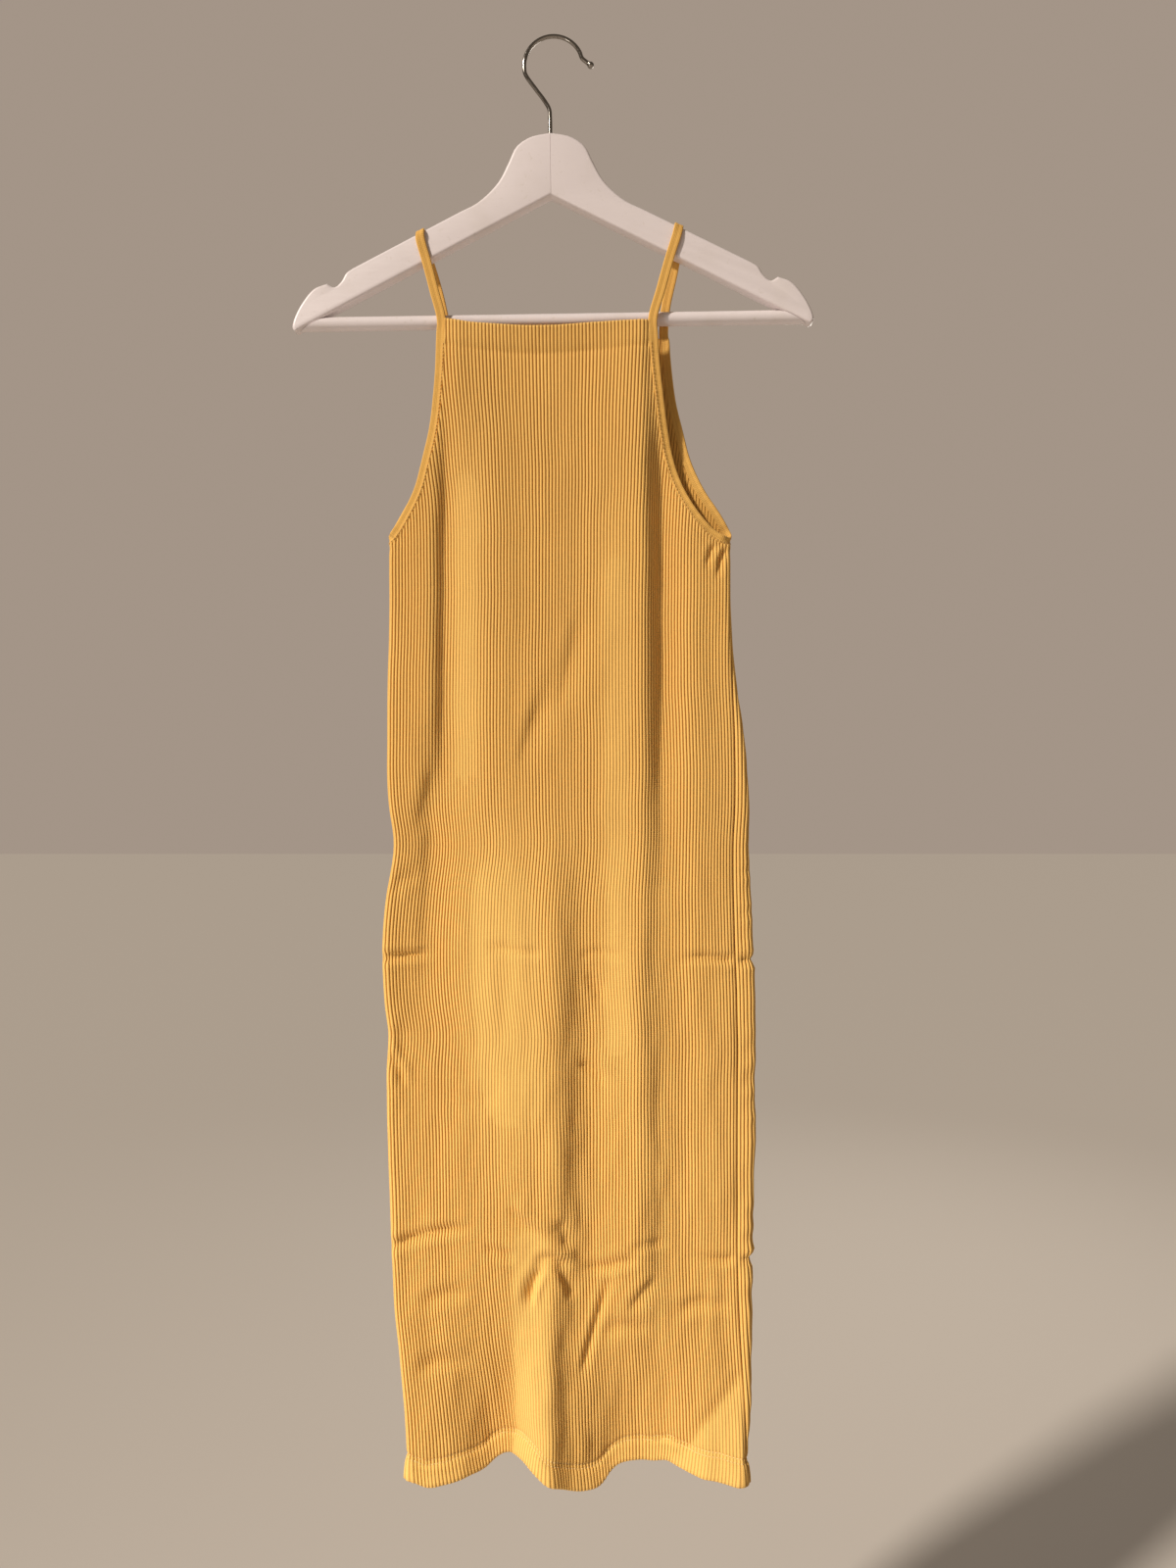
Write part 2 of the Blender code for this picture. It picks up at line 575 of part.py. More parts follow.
def half_outline():
    points = []
    for stretch in ARM_OUTLINE:
        run = np.array(stretch.points, float)
        if stretch.smooth:
            run = along_curve(run, 2 * len(run) - 1)
        points += [tuple(p) for p in run[:-1]]
    points.append(ARM_OUTLINE[-1].points[-1])
    return points


def build_hanger_body():
    right = half_outline()
    left = [(-u, z) for u, z in reversed(right[1:-1])]
    ring = [(HANGER_CENTRE + u, z) for u, z in right + left]
    half = ARM_THICKNESS / 2
    count = len(ring)
    points = [(x, -half, z) for x, z in ring] + [(x, half, z) for x, z in ring]
    faces = [tuple(range(count)), tuple(range(2 * count - 1, count - 1, -1))]
    faces += [(i, (i + 1) % count, count + (i + 1) % count, count + i) for i in range(count)]
    body = add_mesh("hanger_body", points, faces, "white painted wood")
    rounding = body.modifiers.new("rounded edges", "BEVEL")
    rounding.width = ARM_EDGE * MM
    rounding.segments = 2
    rounding.limit_method = "ANGLE"
    rounding.angle_limit = math.radians(50)
    bore = build_tube(
        "stem_bore",
        [(HANGER_CENTRE, 0, HEAD_TOP + 8), (HANGER_CENTRE, 0, HEAD_TOP - STEM_DEPTH - 1)],
        [WIRE_RADIUS + STEM_CLEARANCE] * 2,
        WIRE_SIDES,
        "white painted wood",
    )
    bore.hide_render = True
    bore.display_type = "WIRE"
    cut = body.modifiers.new("stem bore", "BOOLEAN")
    cut.operation = "DIFFERENCE"
    cut.solver = "EXACT"
    cut.object = bore
    hang(bore)
    return hang(body)


def build_tube(name, centres, radii, sides, material_name):
    """A round tube through points that lie in one upright plane, closed at both ends."""
    centres = np.asarray(centres, float)
    tangent = np.gradient(centres, axis=0)
    tangent /= np.linalg.norm(tangent, axis=1)[:, None]
    across = np.cross(tangent, (0.0, 1.0, 0.0))
    points, faces = [], []
    for centre, radius, side in zip(centres, radii, across):
        for j in range(sides):
            angle = 2 * math.pi * j / sides
            points.append(centre + radius * (math.cos(angle) * side + math.sin(angle) * np.array((0, 1, 0))))
    for i in range(len(centres) - 1):
        for j in range(sides):
            k = (j + 1) % sides
            faces.append((i * sides + j, i * sides + k, (i + 1) * sides + k, (i + 1) * sides + j))
    faces.append(tuple(range(sides)))
    faces.append(tuple(len(points) - 1 - j for j in range(sides)))
    return add_mesh(name, points, faces, material_name)


def build_hanger_bar():
    """A round bar whose ends are cut to the slope of the arms' undersides."""
    (u0, z0), (u1, z1) = UNDERSIDE_START, UNDERSIDE_END
    lean = (u1 - u0) / (z1 - z0)
    setback = BAR_CLEARANCE / math.sin(math.atan2(z0 - z1, u1 - u0))
    points = []
    for side in (-1, 1):
        for j in range(BAR_SIDES):
            angle = 2 * math.pi * j / BAR_SIDES
            z = BAR_HEIGHT + BAR_RADIUS * math.sin(angle)
            reach = u0 + (z - z0) * lean - setback
            points.append((HANGER_CENTRE + side * reach, BAR_RADIUS * math.cos(angle), z))
    faces = []
    for j in range(BAR_SIDES):
        k = (j + 1) % BAR_SIDES
        faces.append((j, k, BAR_SIDES + k, BAR_SIDES + j))
    faces += [tuple(range(BAR_SIDES)), tuple(range(2 * BAR_SIDES - 1, BAR_SIDES - 1, -1))]
    return hang(add_mesh("hanger_bar", points, faces, "white painted wood"))


def build_hook():
    """The bent wire: up out of the head, round over the peg, and out to a ball at its end."""
    arc = [
        (HOOK_RADIUS * math.cos(a), WIRE_RADIUS - HOOK_RADIUS + HOOK_RADIUS * math.sin(a))
        for a in np.radians(np.linspace(196, 14, 15))
    ]
    stem = [(HANGER_CENTRE, HEAD_TOP - STEM_DEPTH), (HANGER_CENTRE, HEAD_TOP), (HANGER_CENTRE, -64.5)]
    bend = [(-4.2, -58.0), (-8.4, -50.5), (-14.6, -42.0)]
    tip = [(26.6, -19.6), (30.4, -22.6)]
    route = np.array([(x, 0.0, z) for x, z in stem + bend + arc + tip])
    centres = along_curve(route, 34)
    to_end = np.linalg.norm(centres - centres[-1], axis=1)
    last = centres[-1]
    direction = (centres[-1] - centres[-2]) / np.linalg.norm(centres[-1] - centres[-2])
    wire = centres[to_end > BALL_RADIUS * 0.9]
    radii = [WIRE_RADIUS] * len(wire)
    ball = []
    for angle in np.radians(np.linspace(-40, 80, 6)):
        ball.append(last + direction * BALL_RADIUS * math.sin(angle))
        radii.append(BALL_RADIUS * math.cos(angle))
    return hang(build_tube("hanger_hook", np.vstack([wire, ball]), radii, WIRE_SIDES, "bright metal"))


# Level rows of points up to the yoke, the same in both panels so that the side seams meet, and the shares
# of the way from there to each column's top.
LEVEL_ROWS = (HEM_HEIGHT, HEM_HEIGHT + HEM_DEPTH, -1085, -985, -870, -755, -662, -560, YOKE)
FRONT_SHARES = (0.5, 0.892, 1.0)
BACK_SHARES = (0.45, 0.886, 1.0)


def main():
    clear_scene()
    build_panel("front_panel", Panel("front"), FRONT_SHARES)
    build_panel("back_panel", Panel("back"), BACK_SHARES)
    build_strap("left_strap", "left")
    build_strap("right_strap", "right")
    build_hanger_body()
    build_hanger_bar()
    build_hook()


main()
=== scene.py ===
import math
from collections import namedtuple
from functools import partial

import bmesh
import bpy
import numpy as np
from mathutils import Matrix, Vector, noise


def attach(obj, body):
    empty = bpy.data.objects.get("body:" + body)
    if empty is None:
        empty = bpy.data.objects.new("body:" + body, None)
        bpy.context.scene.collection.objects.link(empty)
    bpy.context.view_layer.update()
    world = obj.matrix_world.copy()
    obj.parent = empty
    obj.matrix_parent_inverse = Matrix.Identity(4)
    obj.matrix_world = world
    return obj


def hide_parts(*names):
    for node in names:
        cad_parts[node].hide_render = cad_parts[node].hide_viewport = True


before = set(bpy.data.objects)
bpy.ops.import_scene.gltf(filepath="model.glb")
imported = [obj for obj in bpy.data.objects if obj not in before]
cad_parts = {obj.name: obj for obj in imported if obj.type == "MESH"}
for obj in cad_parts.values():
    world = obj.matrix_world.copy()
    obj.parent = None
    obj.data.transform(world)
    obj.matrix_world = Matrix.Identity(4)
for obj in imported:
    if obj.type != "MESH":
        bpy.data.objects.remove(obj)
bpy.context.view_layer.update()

mm = 0.001  # every size below is in millimetres, with the inner top of the hook at the origin


# Small helpers

def ease(t):
    t = np.clip(t, 0.0, 1.0)
    return t * t * (3 - 2 * t)


def bell(distance, half, power=2):
    return np.exp(-(distance / half) ** power)


def table(columns, *rows):
    row = namedtuple("Row", columns)
    return [row(*values) for values in rows]


def smoothThrough(knots, values, at):
    # a cubic curve through the values at rising knots
    knots = np.asarray(knots, float)
    values = np.asarray(values, float)
    slopes = np.gradient(values, knots, axis=0)
    at = np.clip(at, knots[0], knots[-1])
    i = np.clip(np.searchsorted(knots, at) - 1, 0, len(knots) - 2)
    span = knots[i + 1] - knots[i]
    t = (at - knots[i]) / span
    if values.ndim > 1:
        t = t[:, None]
        span = span[:, None]
    start = (2 * t**3 - 3 * t**2 + 1) * values[i] + (t**3 - 2 * t**2 + t) * span * slopes[i]
    end = (3 * t**2 - 2 * t**3) * values[i + 1] + (t**3 - t**2) * span * slopes[i + 1]
    return start + end


def fromTable(rows, column, height):
    rows = sorted(rows, key=lambda row: row.height)
    return smoothThrough([r.height for r in rows], [getattr(r, column) for r in rows], height)


def lengthAlong(points):
    return np.concatenate([[0.0], np.cumsum(np.linalg.norm(np.diff(points, axis=0), axis=1))])


def pickAt(where, length, values):
    return np.stack([np.interp(where, length, column) for column in values.T], axis=1)


def alongCurve(points, count, closed=False):
    # evenly spaced points on a smooth curve through the given ones
    points = np.asarray(points, float)
    if closed:
        points = np.vstack([points[-2:], points, points[:3]])
    steps = np.linalg.norm(np.diff(points, axis=0), axis=1)
    knots = np.concatenate([[0.0], np.cumsum(np.sqrt(steps))])
    first, last = (knots[2], knots[-3]) if closed else (knots[0], knots[-1])
    fine = smoothThrough(knots, points, np.linspace(first, last, 40 * count))
    length = lengthAlong(fine)
    return pickAt(np.linspace(0.0, length[-1], count, endpoint=not closed), length, fine)


def unit(vectors):
    return vectors / np.linalg.norm(vectors, axis=-1, keepdims=True)


def slowNoise(x, height, acrossScale, alongScale, seed):
    # the same gentle unevenness each run, from -1 to 1
    places = zip((x / acrossScale).ravel(), (height / alongScale).ravel())
    return np.array([noise.noise(Vector((a, b, seed))) for a, b in places]).reshape(x.shape)


def gridFaces(index):
    # the faces between neighbouring rows and columns of point numbers
    corners = [index[:-1, :-1], index[:-1, 1:], index[1:, 1:], index[1:, :-1]]
    return np.stack(corners, axis=-1).reshape(-1, 4).tolist()


def tubeFaces(rings, sides, start=0, closed=False):
    # the faces round a tube: its ends are capped, or joined where it is closed
    index = start + np.arange(rings * sides).reshape(rings, sides)
    around = np.hstack([index, index[:, :1]])
    if closed:
        return gridFaces(np.vstack([around, around[:1]]))
    return gridFaces(around) + [index[0].tolist(), index[-1, ::-1].tolist()]


def rimFaces(outer, inner, step):
    # triangles between an edge and a coarser one, which has one point to each step of the first
    faces, half = [], step // 2
    for c in range(len(inner) - 1):
        a = step * c
        faces += [(outer[a + s], outer[a + s + 1], inner[c + (s >= half)]) for s in range(step)]
        faces.append((outer[a + half], inner[c + 1], inner[c]))
    return faces


def addObject(name, data):
    made = bpy.data.objects.new(name, data)
    bpy.context.scene.collection.objects.link(made)
    return made


def makePiece(name, points, faces, materials, cloth=None, faceMaterials=None, sharpAngle=60):
    # points are in millimetres; cloth is each point's place in the knit: ribs across, millimetres along
    mesh = bpy.data.meshes.new(name)
    mesh.from_pydata((np.asarray(points, float) * mm).tolist(), [], faces)
    for material in materials:
        mesh.materials.append(material)
    if faceMaterials is not None:
        mesh.polygons.foreach_set("material_index", np.asarray(faceMaterials, np.int32))
    if cloth is not None:
        corners = np.empty(len(mesh.loops), np.int32)
        mesh.loops.foreach_get("vertex_index", corners)
        layer = mesh.uv_layers.new(name="knit")
        layer.uv.foreach_set("vector", np.asarray(cloth, np.float32)[corners].ravel())
    tidy = bmesh.new()
    tidy.from_mesh(mesh)
    bmesh.ops.recalc_face_normals(tidy, faces=tidy.faces)
    tidy.to_mesh(mesh)
    tidy.free()
    mesh.shade_smooth()
    mesh.set_sharp_from_angle(angle=math.radians(sharpAngle))
    return addObject(name, mesh)


# The dress by height: its sides, how far forward the front and how far back the back lie in the middle,
# the front's depth at each side, and how far the back panel comes round the right side
sections = table(
    "height left right front back leftFace rightFace wrap",
    (-1186, -115, 152.6, -16, 13, -14, -12, 1),
    (-1168, -117.6, 155.6, -15.4, 13, -13, -12, 1.5),
    (-1141, -119, 157.4, -14.5, 12.5, -12, -12, 3),
    (-1099, -122.6, 159.3, -12.8, 12, -10, -12, 7),
    (-1055, -127.8, 160.6, -11.5, 11.5, -8.5, -11, 11),
    (-1013, -131.2, 161.6, -10.8, 11, -7.5, -10, 13.5),
    (-960, -133.4, 163, -10.2, 10.5, -6.5, -6.6, 15),
    (-903, -135.6, 164.2, -9.8, 10, -6, -5.4, 16),
    (-845, -136.4, 164.8, -9.4, 9.5, -5.5, -4.6, 16.5),
    (-816, -135, 165.4, -9.2, 9.2, -5.2, -4.2, 17),
    (-794, -138, 165.2, -9, 9, -5, -3.8, 17),
    (-752, -140, 163.6, -8.8, 8.8, -5, -3.4, 17),
    (-706, -137, 161.4, -8.5, 8.5, -4.8, -3, 16),
    (-662, -130.8, 159.6, -8.3, 8.2, -4.6, -2.8, 14.5),
    (-626, -134.8, 159.7, -8.2, 8, -4.5, -2.8, 13),
    (-581, -135.6, 156.4, -8, 7.6, -4.3, -3, 10),
    (-520, -134.9, 148.6, -8, 7, -4, -3.6, 4),
    (-476, -134, 145.4, -8, 6.8, -3.8, -4.2, 1),
    (-418, -134, 145, -8.2, 6.6, -3.6, -3.8, 0),
    (-330, -134, 145, -8.8, 7, -4, -4, 0),
    (-222, -134, 145, -9.6, 7.6, -4, -4, 0),
)

# The long folds; a forward ridge has a negative depth
foldColumns = "name top bottom xTop xBottom leftHalf rightHalf square depth fadeTop fadeBottom"
frontFolds = table(
    foldColumns,
    ("left strap groove", -275, -660, -86, -91, 7, 22, 2, 7.5, 110, 130),
    ("left lower groove", -530, -840, -94, -107, 9, 24, 2, 5.5, 110, 190),
    ("left strap ridge", -225, -640, -76, -78, 9, 22, 2, -2.2, 10, 240),
    ("right strap groove", -275, -820, 87, 91, 7.5, 16, 2, 7.5, 110, 340),
    ("right strap ridge", -225, -940, 71, 72, 32, 7.5, 2, -3.6, 10, 400),
    ("left hollow", -560, -1120, -104, -114, 30, 50, 2, 7.5, 160, 200),
    ("middle ridge", -560, -1070, -1, 3, 52, 13, 2, -6.5, 260, 90),
    ("lower middle ridge", -985, -1300, -2, -4, 15, 9, 2, -8, 80, 10),
    ("middle valley", -620, -1110, 29, 32, 16, 24, 2, 4.5, 200, 140),
    ("right ridge", -640, -1130, 68, 68, 22, 15, 2, -4, 160, 120),
    ("right valley", -700, -1110, 96, 96, 15, 24, 2, 3, 160, 120),
    ("left hem valley", -1010, -1300, -44, -29, 36, 16, 2.4, 25, 190, 10),
    ("right hem valley", -1020, -1300, 60, 78, 44, 44, 2.6, 25, 180, 10),
)
backFolds = table(
    foldColumns,
    ("left strap groove", -300, -760, -84, -92, 13, 13, 2, -3.5, 120, 240),
    ("right strap groove", -300, -780, 86, 90, 13, 13, 2, -3.5, 120, 240),
    ("middle roll", -470, -1300, -14, -34, 44, 40, 2, 4.5, 260, 10),
    ("right valley", -600, -1300, 40, 10, 24, 26, 2, -6, 240, 10),
    ("right roll", -640, -1300, 92, 70, 30, 34, 2.6, 4, 240, 10),
    ("left valley", -700, -1300, -78, -84, 22, 22, 2, -4.5, 240, 10),
)
# The lower right corner, turned forward beyond a slanting line through one place
turnedCorner = {"x": 111.0, "height": -1146.0, "across": 0.82, "down": 0.57, "slope": 0.25, "softness": 1.5}

# The cut edges: the necklines by their distance along X, the hem's lift above its level, and the armholes
necks = {
    "front": table(
        "x height", (-87, -233.2), (-73, -236.2), (-46, -239.3), (-15, -241), (5, -240.4), (26, -238.9),
        (50, -237.2), (78, -234.9),
    ),
    "back": table("x height", (-84, -243.6), (-50, -247.6), (0, -249.4), (50, -247.8), (88, -243.8)),
}
hemLifts = table(
    "x lift",
    (-140, 5.9), (-113, 5.9), (-102.6, 2.2), (-87.7, 3.2), (-70.2, 6.3), (-55.8, 9.2), (-45.6, 15.4),
    (-39.6, 17.7), (-30.9, 18.6), (-22.2, 18.5), (-13, 14), (-5.1, 8), (7.3, 1.1), (26.2, -4.2),
    (36.6, -2.9), (44.7, 4.2), (53.6, 9.7), (61.7, 11.4), (82.7, 12.1), (95.3, 14.7), (105.3, 12.5),
    (117.3, 10.1), (130.8, 9.4), (146.7, 7.4), (180, 7.4),
)
armholes = table(
    "height frontLeft frontRight backLeft backRight",
    (-418, -136, 147, -136, 147),
    (-416, -131, 136.5, -132, 143),
    (-410, -125.6, 126.4, -127.6, 139.6),
    (-395, -116.2, 112.6, -118.8, 131.4),
    (-373.5, -105.6, 99.8, -107, 117.2),
    (-348.5, -98.8, 90.8, -96.8, 105.8),
    (-324, -93.2, 85.8, -90.8, 99.4),
    (-299, -89.9, 82.4, -87.2, 93.4),
    (-274, -87.8, 79.4, -84.6, 90),
    (-250, -86.8, 77.6, -83.4, 88),
    (-226, -86.2, 77.4, -83, 87.4),
)

# Where the front is pulled so that its ribs lie flatter
flatBands = table(
    "top bottom xTop xBottom half fade amount",
    (-290, -680, -69, -72, 17, 90, 0.5),
    (-560, -1000, -50, -25, 36, 180, 0.65),
    (-330, -930, 52, 53, 18, 120, 0.5),
    (-955, -1185, -18, -14, 17, 40, 0.8),
)

# Sharper creases from storage and handling: a line of points (x, height), its half width and depth, how much
# steeper one side is, and how far the cloth stands up beside it
creaseColumns = "points width depth lean lip"
sideCreases = table(  # these go round the sides, from one panel to the other
    creaseColumns,
    # parcel folds, at two heights right across
    (((-160, -757), (-136, -754), (-116, -752), (-96, -751)), 3.4, 2.1, 0, 0.25),
    (((96, -756), (118, -753), (140, -755), (185, -757)), 3.2, 1.5, 0, 0.25),
    (((-160, -996), (-128, -988), (-96, -978), (-58, -971)), 3.8, 1.9, 0, 0.25),
    (((112, -994), (134, -999), (150, -998), (185, -999)), 3.6, 1.5, 0, 0.25),
)
frontCreases = table(
    creaseColumns,
    # parcel folds, at two heights right across
    (((-58, -744), (-40, -746), (-22, -749), (-4, -748)), 3.2, 1.2, 0, 0.2),
    (((18, -752), (38, -749), (60, -753)), 3, 0.9, 0, 0.2),
    (((58, -990), (76, -985), (96, -986)), 3.4, 0.9, 0, 0.2),
    # the crumpled spot on the middle ridge and what runs out from it
    (((-34, -946), (-24, -956), (-12, -967), (2, -973)), 5, -1.5, 0.3, 0.1),
    (((-38, -954), (-26, -968), (-12, -979)), 4.2, 0.9, 0, 0),
    (((-58, -987), (-44, -992), (-28, -996)), 4, 1.3, 0, 0.35),
    (((3, -962), (9, -976), (13, -990)), 5.4, 1.7, 0, 0.2),
    (((-3, -999), (6, -1006), (12, -1018), (14, -1032)), 4.4, 1.3, 0.3, 0.2),
    (((-4, -1001), (-12, -1010), (-17, -1022), (-18, -1036)), 3.6, 2.2, -0.3, 0.25),
    (((-18, -1000), (-2, -996), (16, -1004)), 4, 1.8, 0, 0.3),
    (((22, -1003), (40, -1006), (56, -1000), (74, -996)), 3.8, 1.6, 0.2, 0.3),
    # diagonals on the lower front
    (((49, -1004), (42, -1026), (33, -1056), (21, -1098)), 3.2, 1.4, 0.1, 0.25),
    (((86, -1010), (72, -1024), (60, -1042)), 5, 1.3, 0.3, 0.2),
    (((158, -1082), (142, -1104), (128, -1122), (106, -1152)), 4, 0.8, 0, 0.1),
    (((-112, -1040), (-90, -1028), (-62, -1024)), 5.5, 1.2, 0, 0.2),
    (((-116, -1092), (-92, -1082), (-66, -1086)), 6, 1.5, 0.2, 0.2),
    (((96, -1042), (120, -1034), (146, -1038)), 5, 1.2, 0, 0.3),
    (((34, -1064), (58, -1052), (84, -1058)), 6, 1.1, 0, 0.2),
    # drag lines on the upper middle
    (((22, -466), (15, -508), (4, -556)), 7.5, 0.9, 0.4, 0.25),
    (((-9, -536), (-18, -566), (-28, -602)), 6.5, 0.8, 0.4, 0.25),
    (((18, -494), (-4, -540), (-24, -588)), 9, 0.7, 0.2, 0.2),
    (((-98, -596), (-106, -628), (-112, -656)), 6.5, 1, 0.3, 0.2),
    # gathers under the right armhole
    (((142, -417), (137, -427), (133, -442)), 2.4, 1.5, 0.3, 0.2),
    (((133, -414), (128, -424), (125, -436)), 2.4, 0.9, 0, 0.2),
    # crushed left edge
    (((-134, -810), (-126, -822), (-120, -842)), 6, 1.2, 0.3, 0.3),
    (((-136, -830), (-126, -846), (-122, -862)), 4, 1.6, -0.2, 0.3),
    (((-134, -700), (-124, -690), (-108, -686)), 5, 1.2, 0, 0.2),
    (((-100, -860), (-70, -872), (-40, -866)), 7, 0.8, 0, 0.2),
    (((20, -838), (32, -846), (44, -858)), 4.4, 1.2, 0.3, 0.3),
    (((24, -768), (34, -778), (40, -792)), 4.6, 1.2, 0.3, 0.3),
)
backCreases = table(
    creaseColumns,
    # the same kind of creases behind
    (((-80, -749), (-40, -752), (4, -748)), 4.2, 0.8, 0, 0.25),
    (((24, -751), (60, -756), (100, -752)), 4, 0.9, 0, 0.25),
    (((-60, -988), (-20, -994), (22, -990)), 4.4, 0.9, 0, 0.25),
    (((30, -986), (64, -990), (104, -984)), 4.2, 0.9, 0, 0.25),
    (((40, -968), (26, -996), (18, -1030), (4, -1070)), 4.8, 1.2, 0.4, 0.25),
    (((-66, -930), (-52, -962), (-46, -992)), 5, 1.1, -0.3, 0.25),
    (((70, -470), (52, -520), (40, -566)), 6, 1.3, 0.4, 0.25),
    (((-70, -500), (-58, -548), (-52, -590)), 6, 1.2, -0.3, 0.25),
    (((-100, -1060), (-72, -1048), (-44, -1054)), 6, 1.3, 0, 0.2),
    (((60, -1100), (86, -1082), (120, -1086)), 6, 1.5, 0.2, 0.2),
)

knit = {
    "ribs": 111,                # on each panel
    "stepsPerRib": 4,
    "ribShape": (0.0, 0.82, 1.0, 0.82),
    "ribHeight": 1.25,
    "thickness": 1.2,
    "hemThickness": 2.1,
    "seamGap": 0.3,
    "layerGap": 7.5,            # least distance between the front's and the back's faces
    "edgeGap": 7.0,             # the same where the panels turn into each other
    "edgeTurn": 5.0,
    "edgeReach": 30.0,
    "neckStretch": 1.14,
    "rowStep": 6.8,
    "fineRowStep": 3.7,
    "fineRows": ((-1100, -940), (-772, -738), (-866, -806)),
    "creaseStrength": 1.9,
    "unevenness": (0.5, 1.5),   # gentle rolls in the knit, near the top and near the hem
    "unevenTop": -560.0,
    "wander": 0.45,             # how far the ribs stray sideways
    "seamPull": 0.9,
    "underBinding": 1.3,
    "puckerDepth": 1.0,         # in the back panel's strip beside the right seam
    "gatherDepth": 0.35,        # beside the bindings
}
edges = {
    "hem": -1181.0,
    "hemDepth": 18.0,
    "hemLiftTop": -1000.0,
    "hemLiftFade": 150.0,
    "hemLean": 4.0,             # how far the lower hem stands out at its edge
    "hemFlattening": 0.4,       # of the ribs
    "underarm": -417.5,
    "yoke": -430.0,
    "neckHemDepth": 21.0,
    "neckLean": 5.5,            # how far the neckline's hem leans forward at its edge
    "neckFlattening": 0.25,
    "stitchGap": 3.2,
    "stitchGroove": 0.9,
    "bandBulge": 1.0,
    "edgeRound": (1.05, 0.4),   # how far the last two rows of a folded edge are drawn in
}
outwards = {"left": -1, "right": 1}


def armholeCurve(face, side):
    rows = [(getattr(row, face + side.capitalize()), row.height) for row in armholes]
    return alongCurve(rows, 160)


def movedOut(curve, side, distance):
    # an armhole's curve moved away from the panel
    tangent = unit(np.gradient(curve, axis=0))
    away = np.stack([-tangent[:, 1], tangent[:, 0]], axis=1)
    return curve + away * np.sign(away[:, :1]) * outwards[side] * distance


def middleOf(band, height):
    share = (band.top - height) / (band.top - band.bottom)
    return band.xTop + (band.xBottom - band.xTop) * np.clip(share, 0.0, 1.0)


def foldDepths(folds, x, height):
    total = np.zeros_like(x)
    for fold in folds:
        if fold.bottom < height < fold.top:
            ends = ease((fold.top - height) / fold.fadeTop) * ease((height - fold.bottom) / fold.fadeBottom)
            away = x - middleOf(fold, height)
            half = np.where(away < 0, fold.leftHalf, fold.rightHalf)
            total += fold.depth * ends * bell(np.abs(away), half, fold.square)
    return total


def beyondCorner(x, height):
    across, down = x - turnedCorner["x"], turnedCorner["height"] - height
    return across * turnedCorner["across"] + down * turnedCorner["down"]


def sidesAt(height):
    return [fromTable(sections, side, height) for side in ("left", "right")]


def nearEdge(distance):
    return bell(distance, knit["edgeReach"])


def frontFace(x, height):
    left, right = sidesAt(height)
    middle = fromTable(sections, "front", height)
    depth = middle + (fromTable(sections, "leftFace", height) - middle) * nearEdge(x - left)
    depth = depth + (fromTable(sections, "rightFace", height) - middle) * nearEdge(right - x)
    soft = turnedCorner["softness"]
    turned = turnedCorner["slope"] * soft * np.logaddexp(0.0, beyondCorner(x, height) / soft)
    return depth + foldDepths(frontFolds, x, height) - turned


def backFace(x, height):
    left, right = sidesAt(height)
    front = frontFace(x, height)
    own = fromTable(sections, "back", height) + foldDepths(backFolds, x, height)
    own = own + (front + knit["edgeGap"] - own) * np.maximum(nearEdge(x - left), nearEdge(right - x))
    nearest = front + knit["layerGap"]
    return nearest + np.logaddexp(0.0, (own - nearest) / 1.5) * 1.5


def closedSection(height):
    # the dress cut level: a closed curve from the middle of the left turn round the front
    left, right = sidesAt(height)
    turnIn = knit["edgeTurn"]
    x = np.linspace(left + turnIn, right - turnIn, 420)
    front, back = frontFace(x, height), backFace(x, height)
    angles = np.linspace(0.0, math.pi / 2, 9)[1:-1]

    def turn(xEnd, outward, yFrom, yTo):
        middle, half = (yFrom + yTo) / 2, (yTo - yFrom) / 2
        first = [(xEnd + outward * turnIn * math.sin(a), middle - half * math.cos(a)) for a in angles]
        last = [(xEnd + outward * turnIn * math.cos(a), middle + half * math.sin(a)) for a in angles]
        return first, (xEnd + outward * turnIn, middle), last

    leftBack, leftMiddle, leftFront = turn(x[0], -1, back[0], front[0])
    rightFront, rightMiddle, rightBack = turn(x[-1], 1, front[-1], back[-1])
    ahead = np.array([leftMiddle, *leftFront, *zip(x, front), *rightFront, rightMiddle])
    behind = np.array([rightMiddle, *rightBack, *zip(x[::-1], back[::-1]), *leftBack, leftMiddle])
    whole = np.vstack([ahead, behind[1:]])
    step = lengthAlong(whole)
    even = np.linspace(0.0, step[-1], 900, endpoint=False)
    points = pickAt(even, step, whole)
    for _ in range(3):
        points = (np.roll(points, 1, axis=0) + 2 * points + np.roll(points, -1, axis=0)) / 4
    tangent = unit(np.roll(points, -1, axis=0) - np.roll(points, 1, axis=0))
    normal = np.stack([tangent[:, 1], -tangent[:, 0]], axis=1)
    return even, points, normal, lengthAlong(ahead)[-1], step[-1]


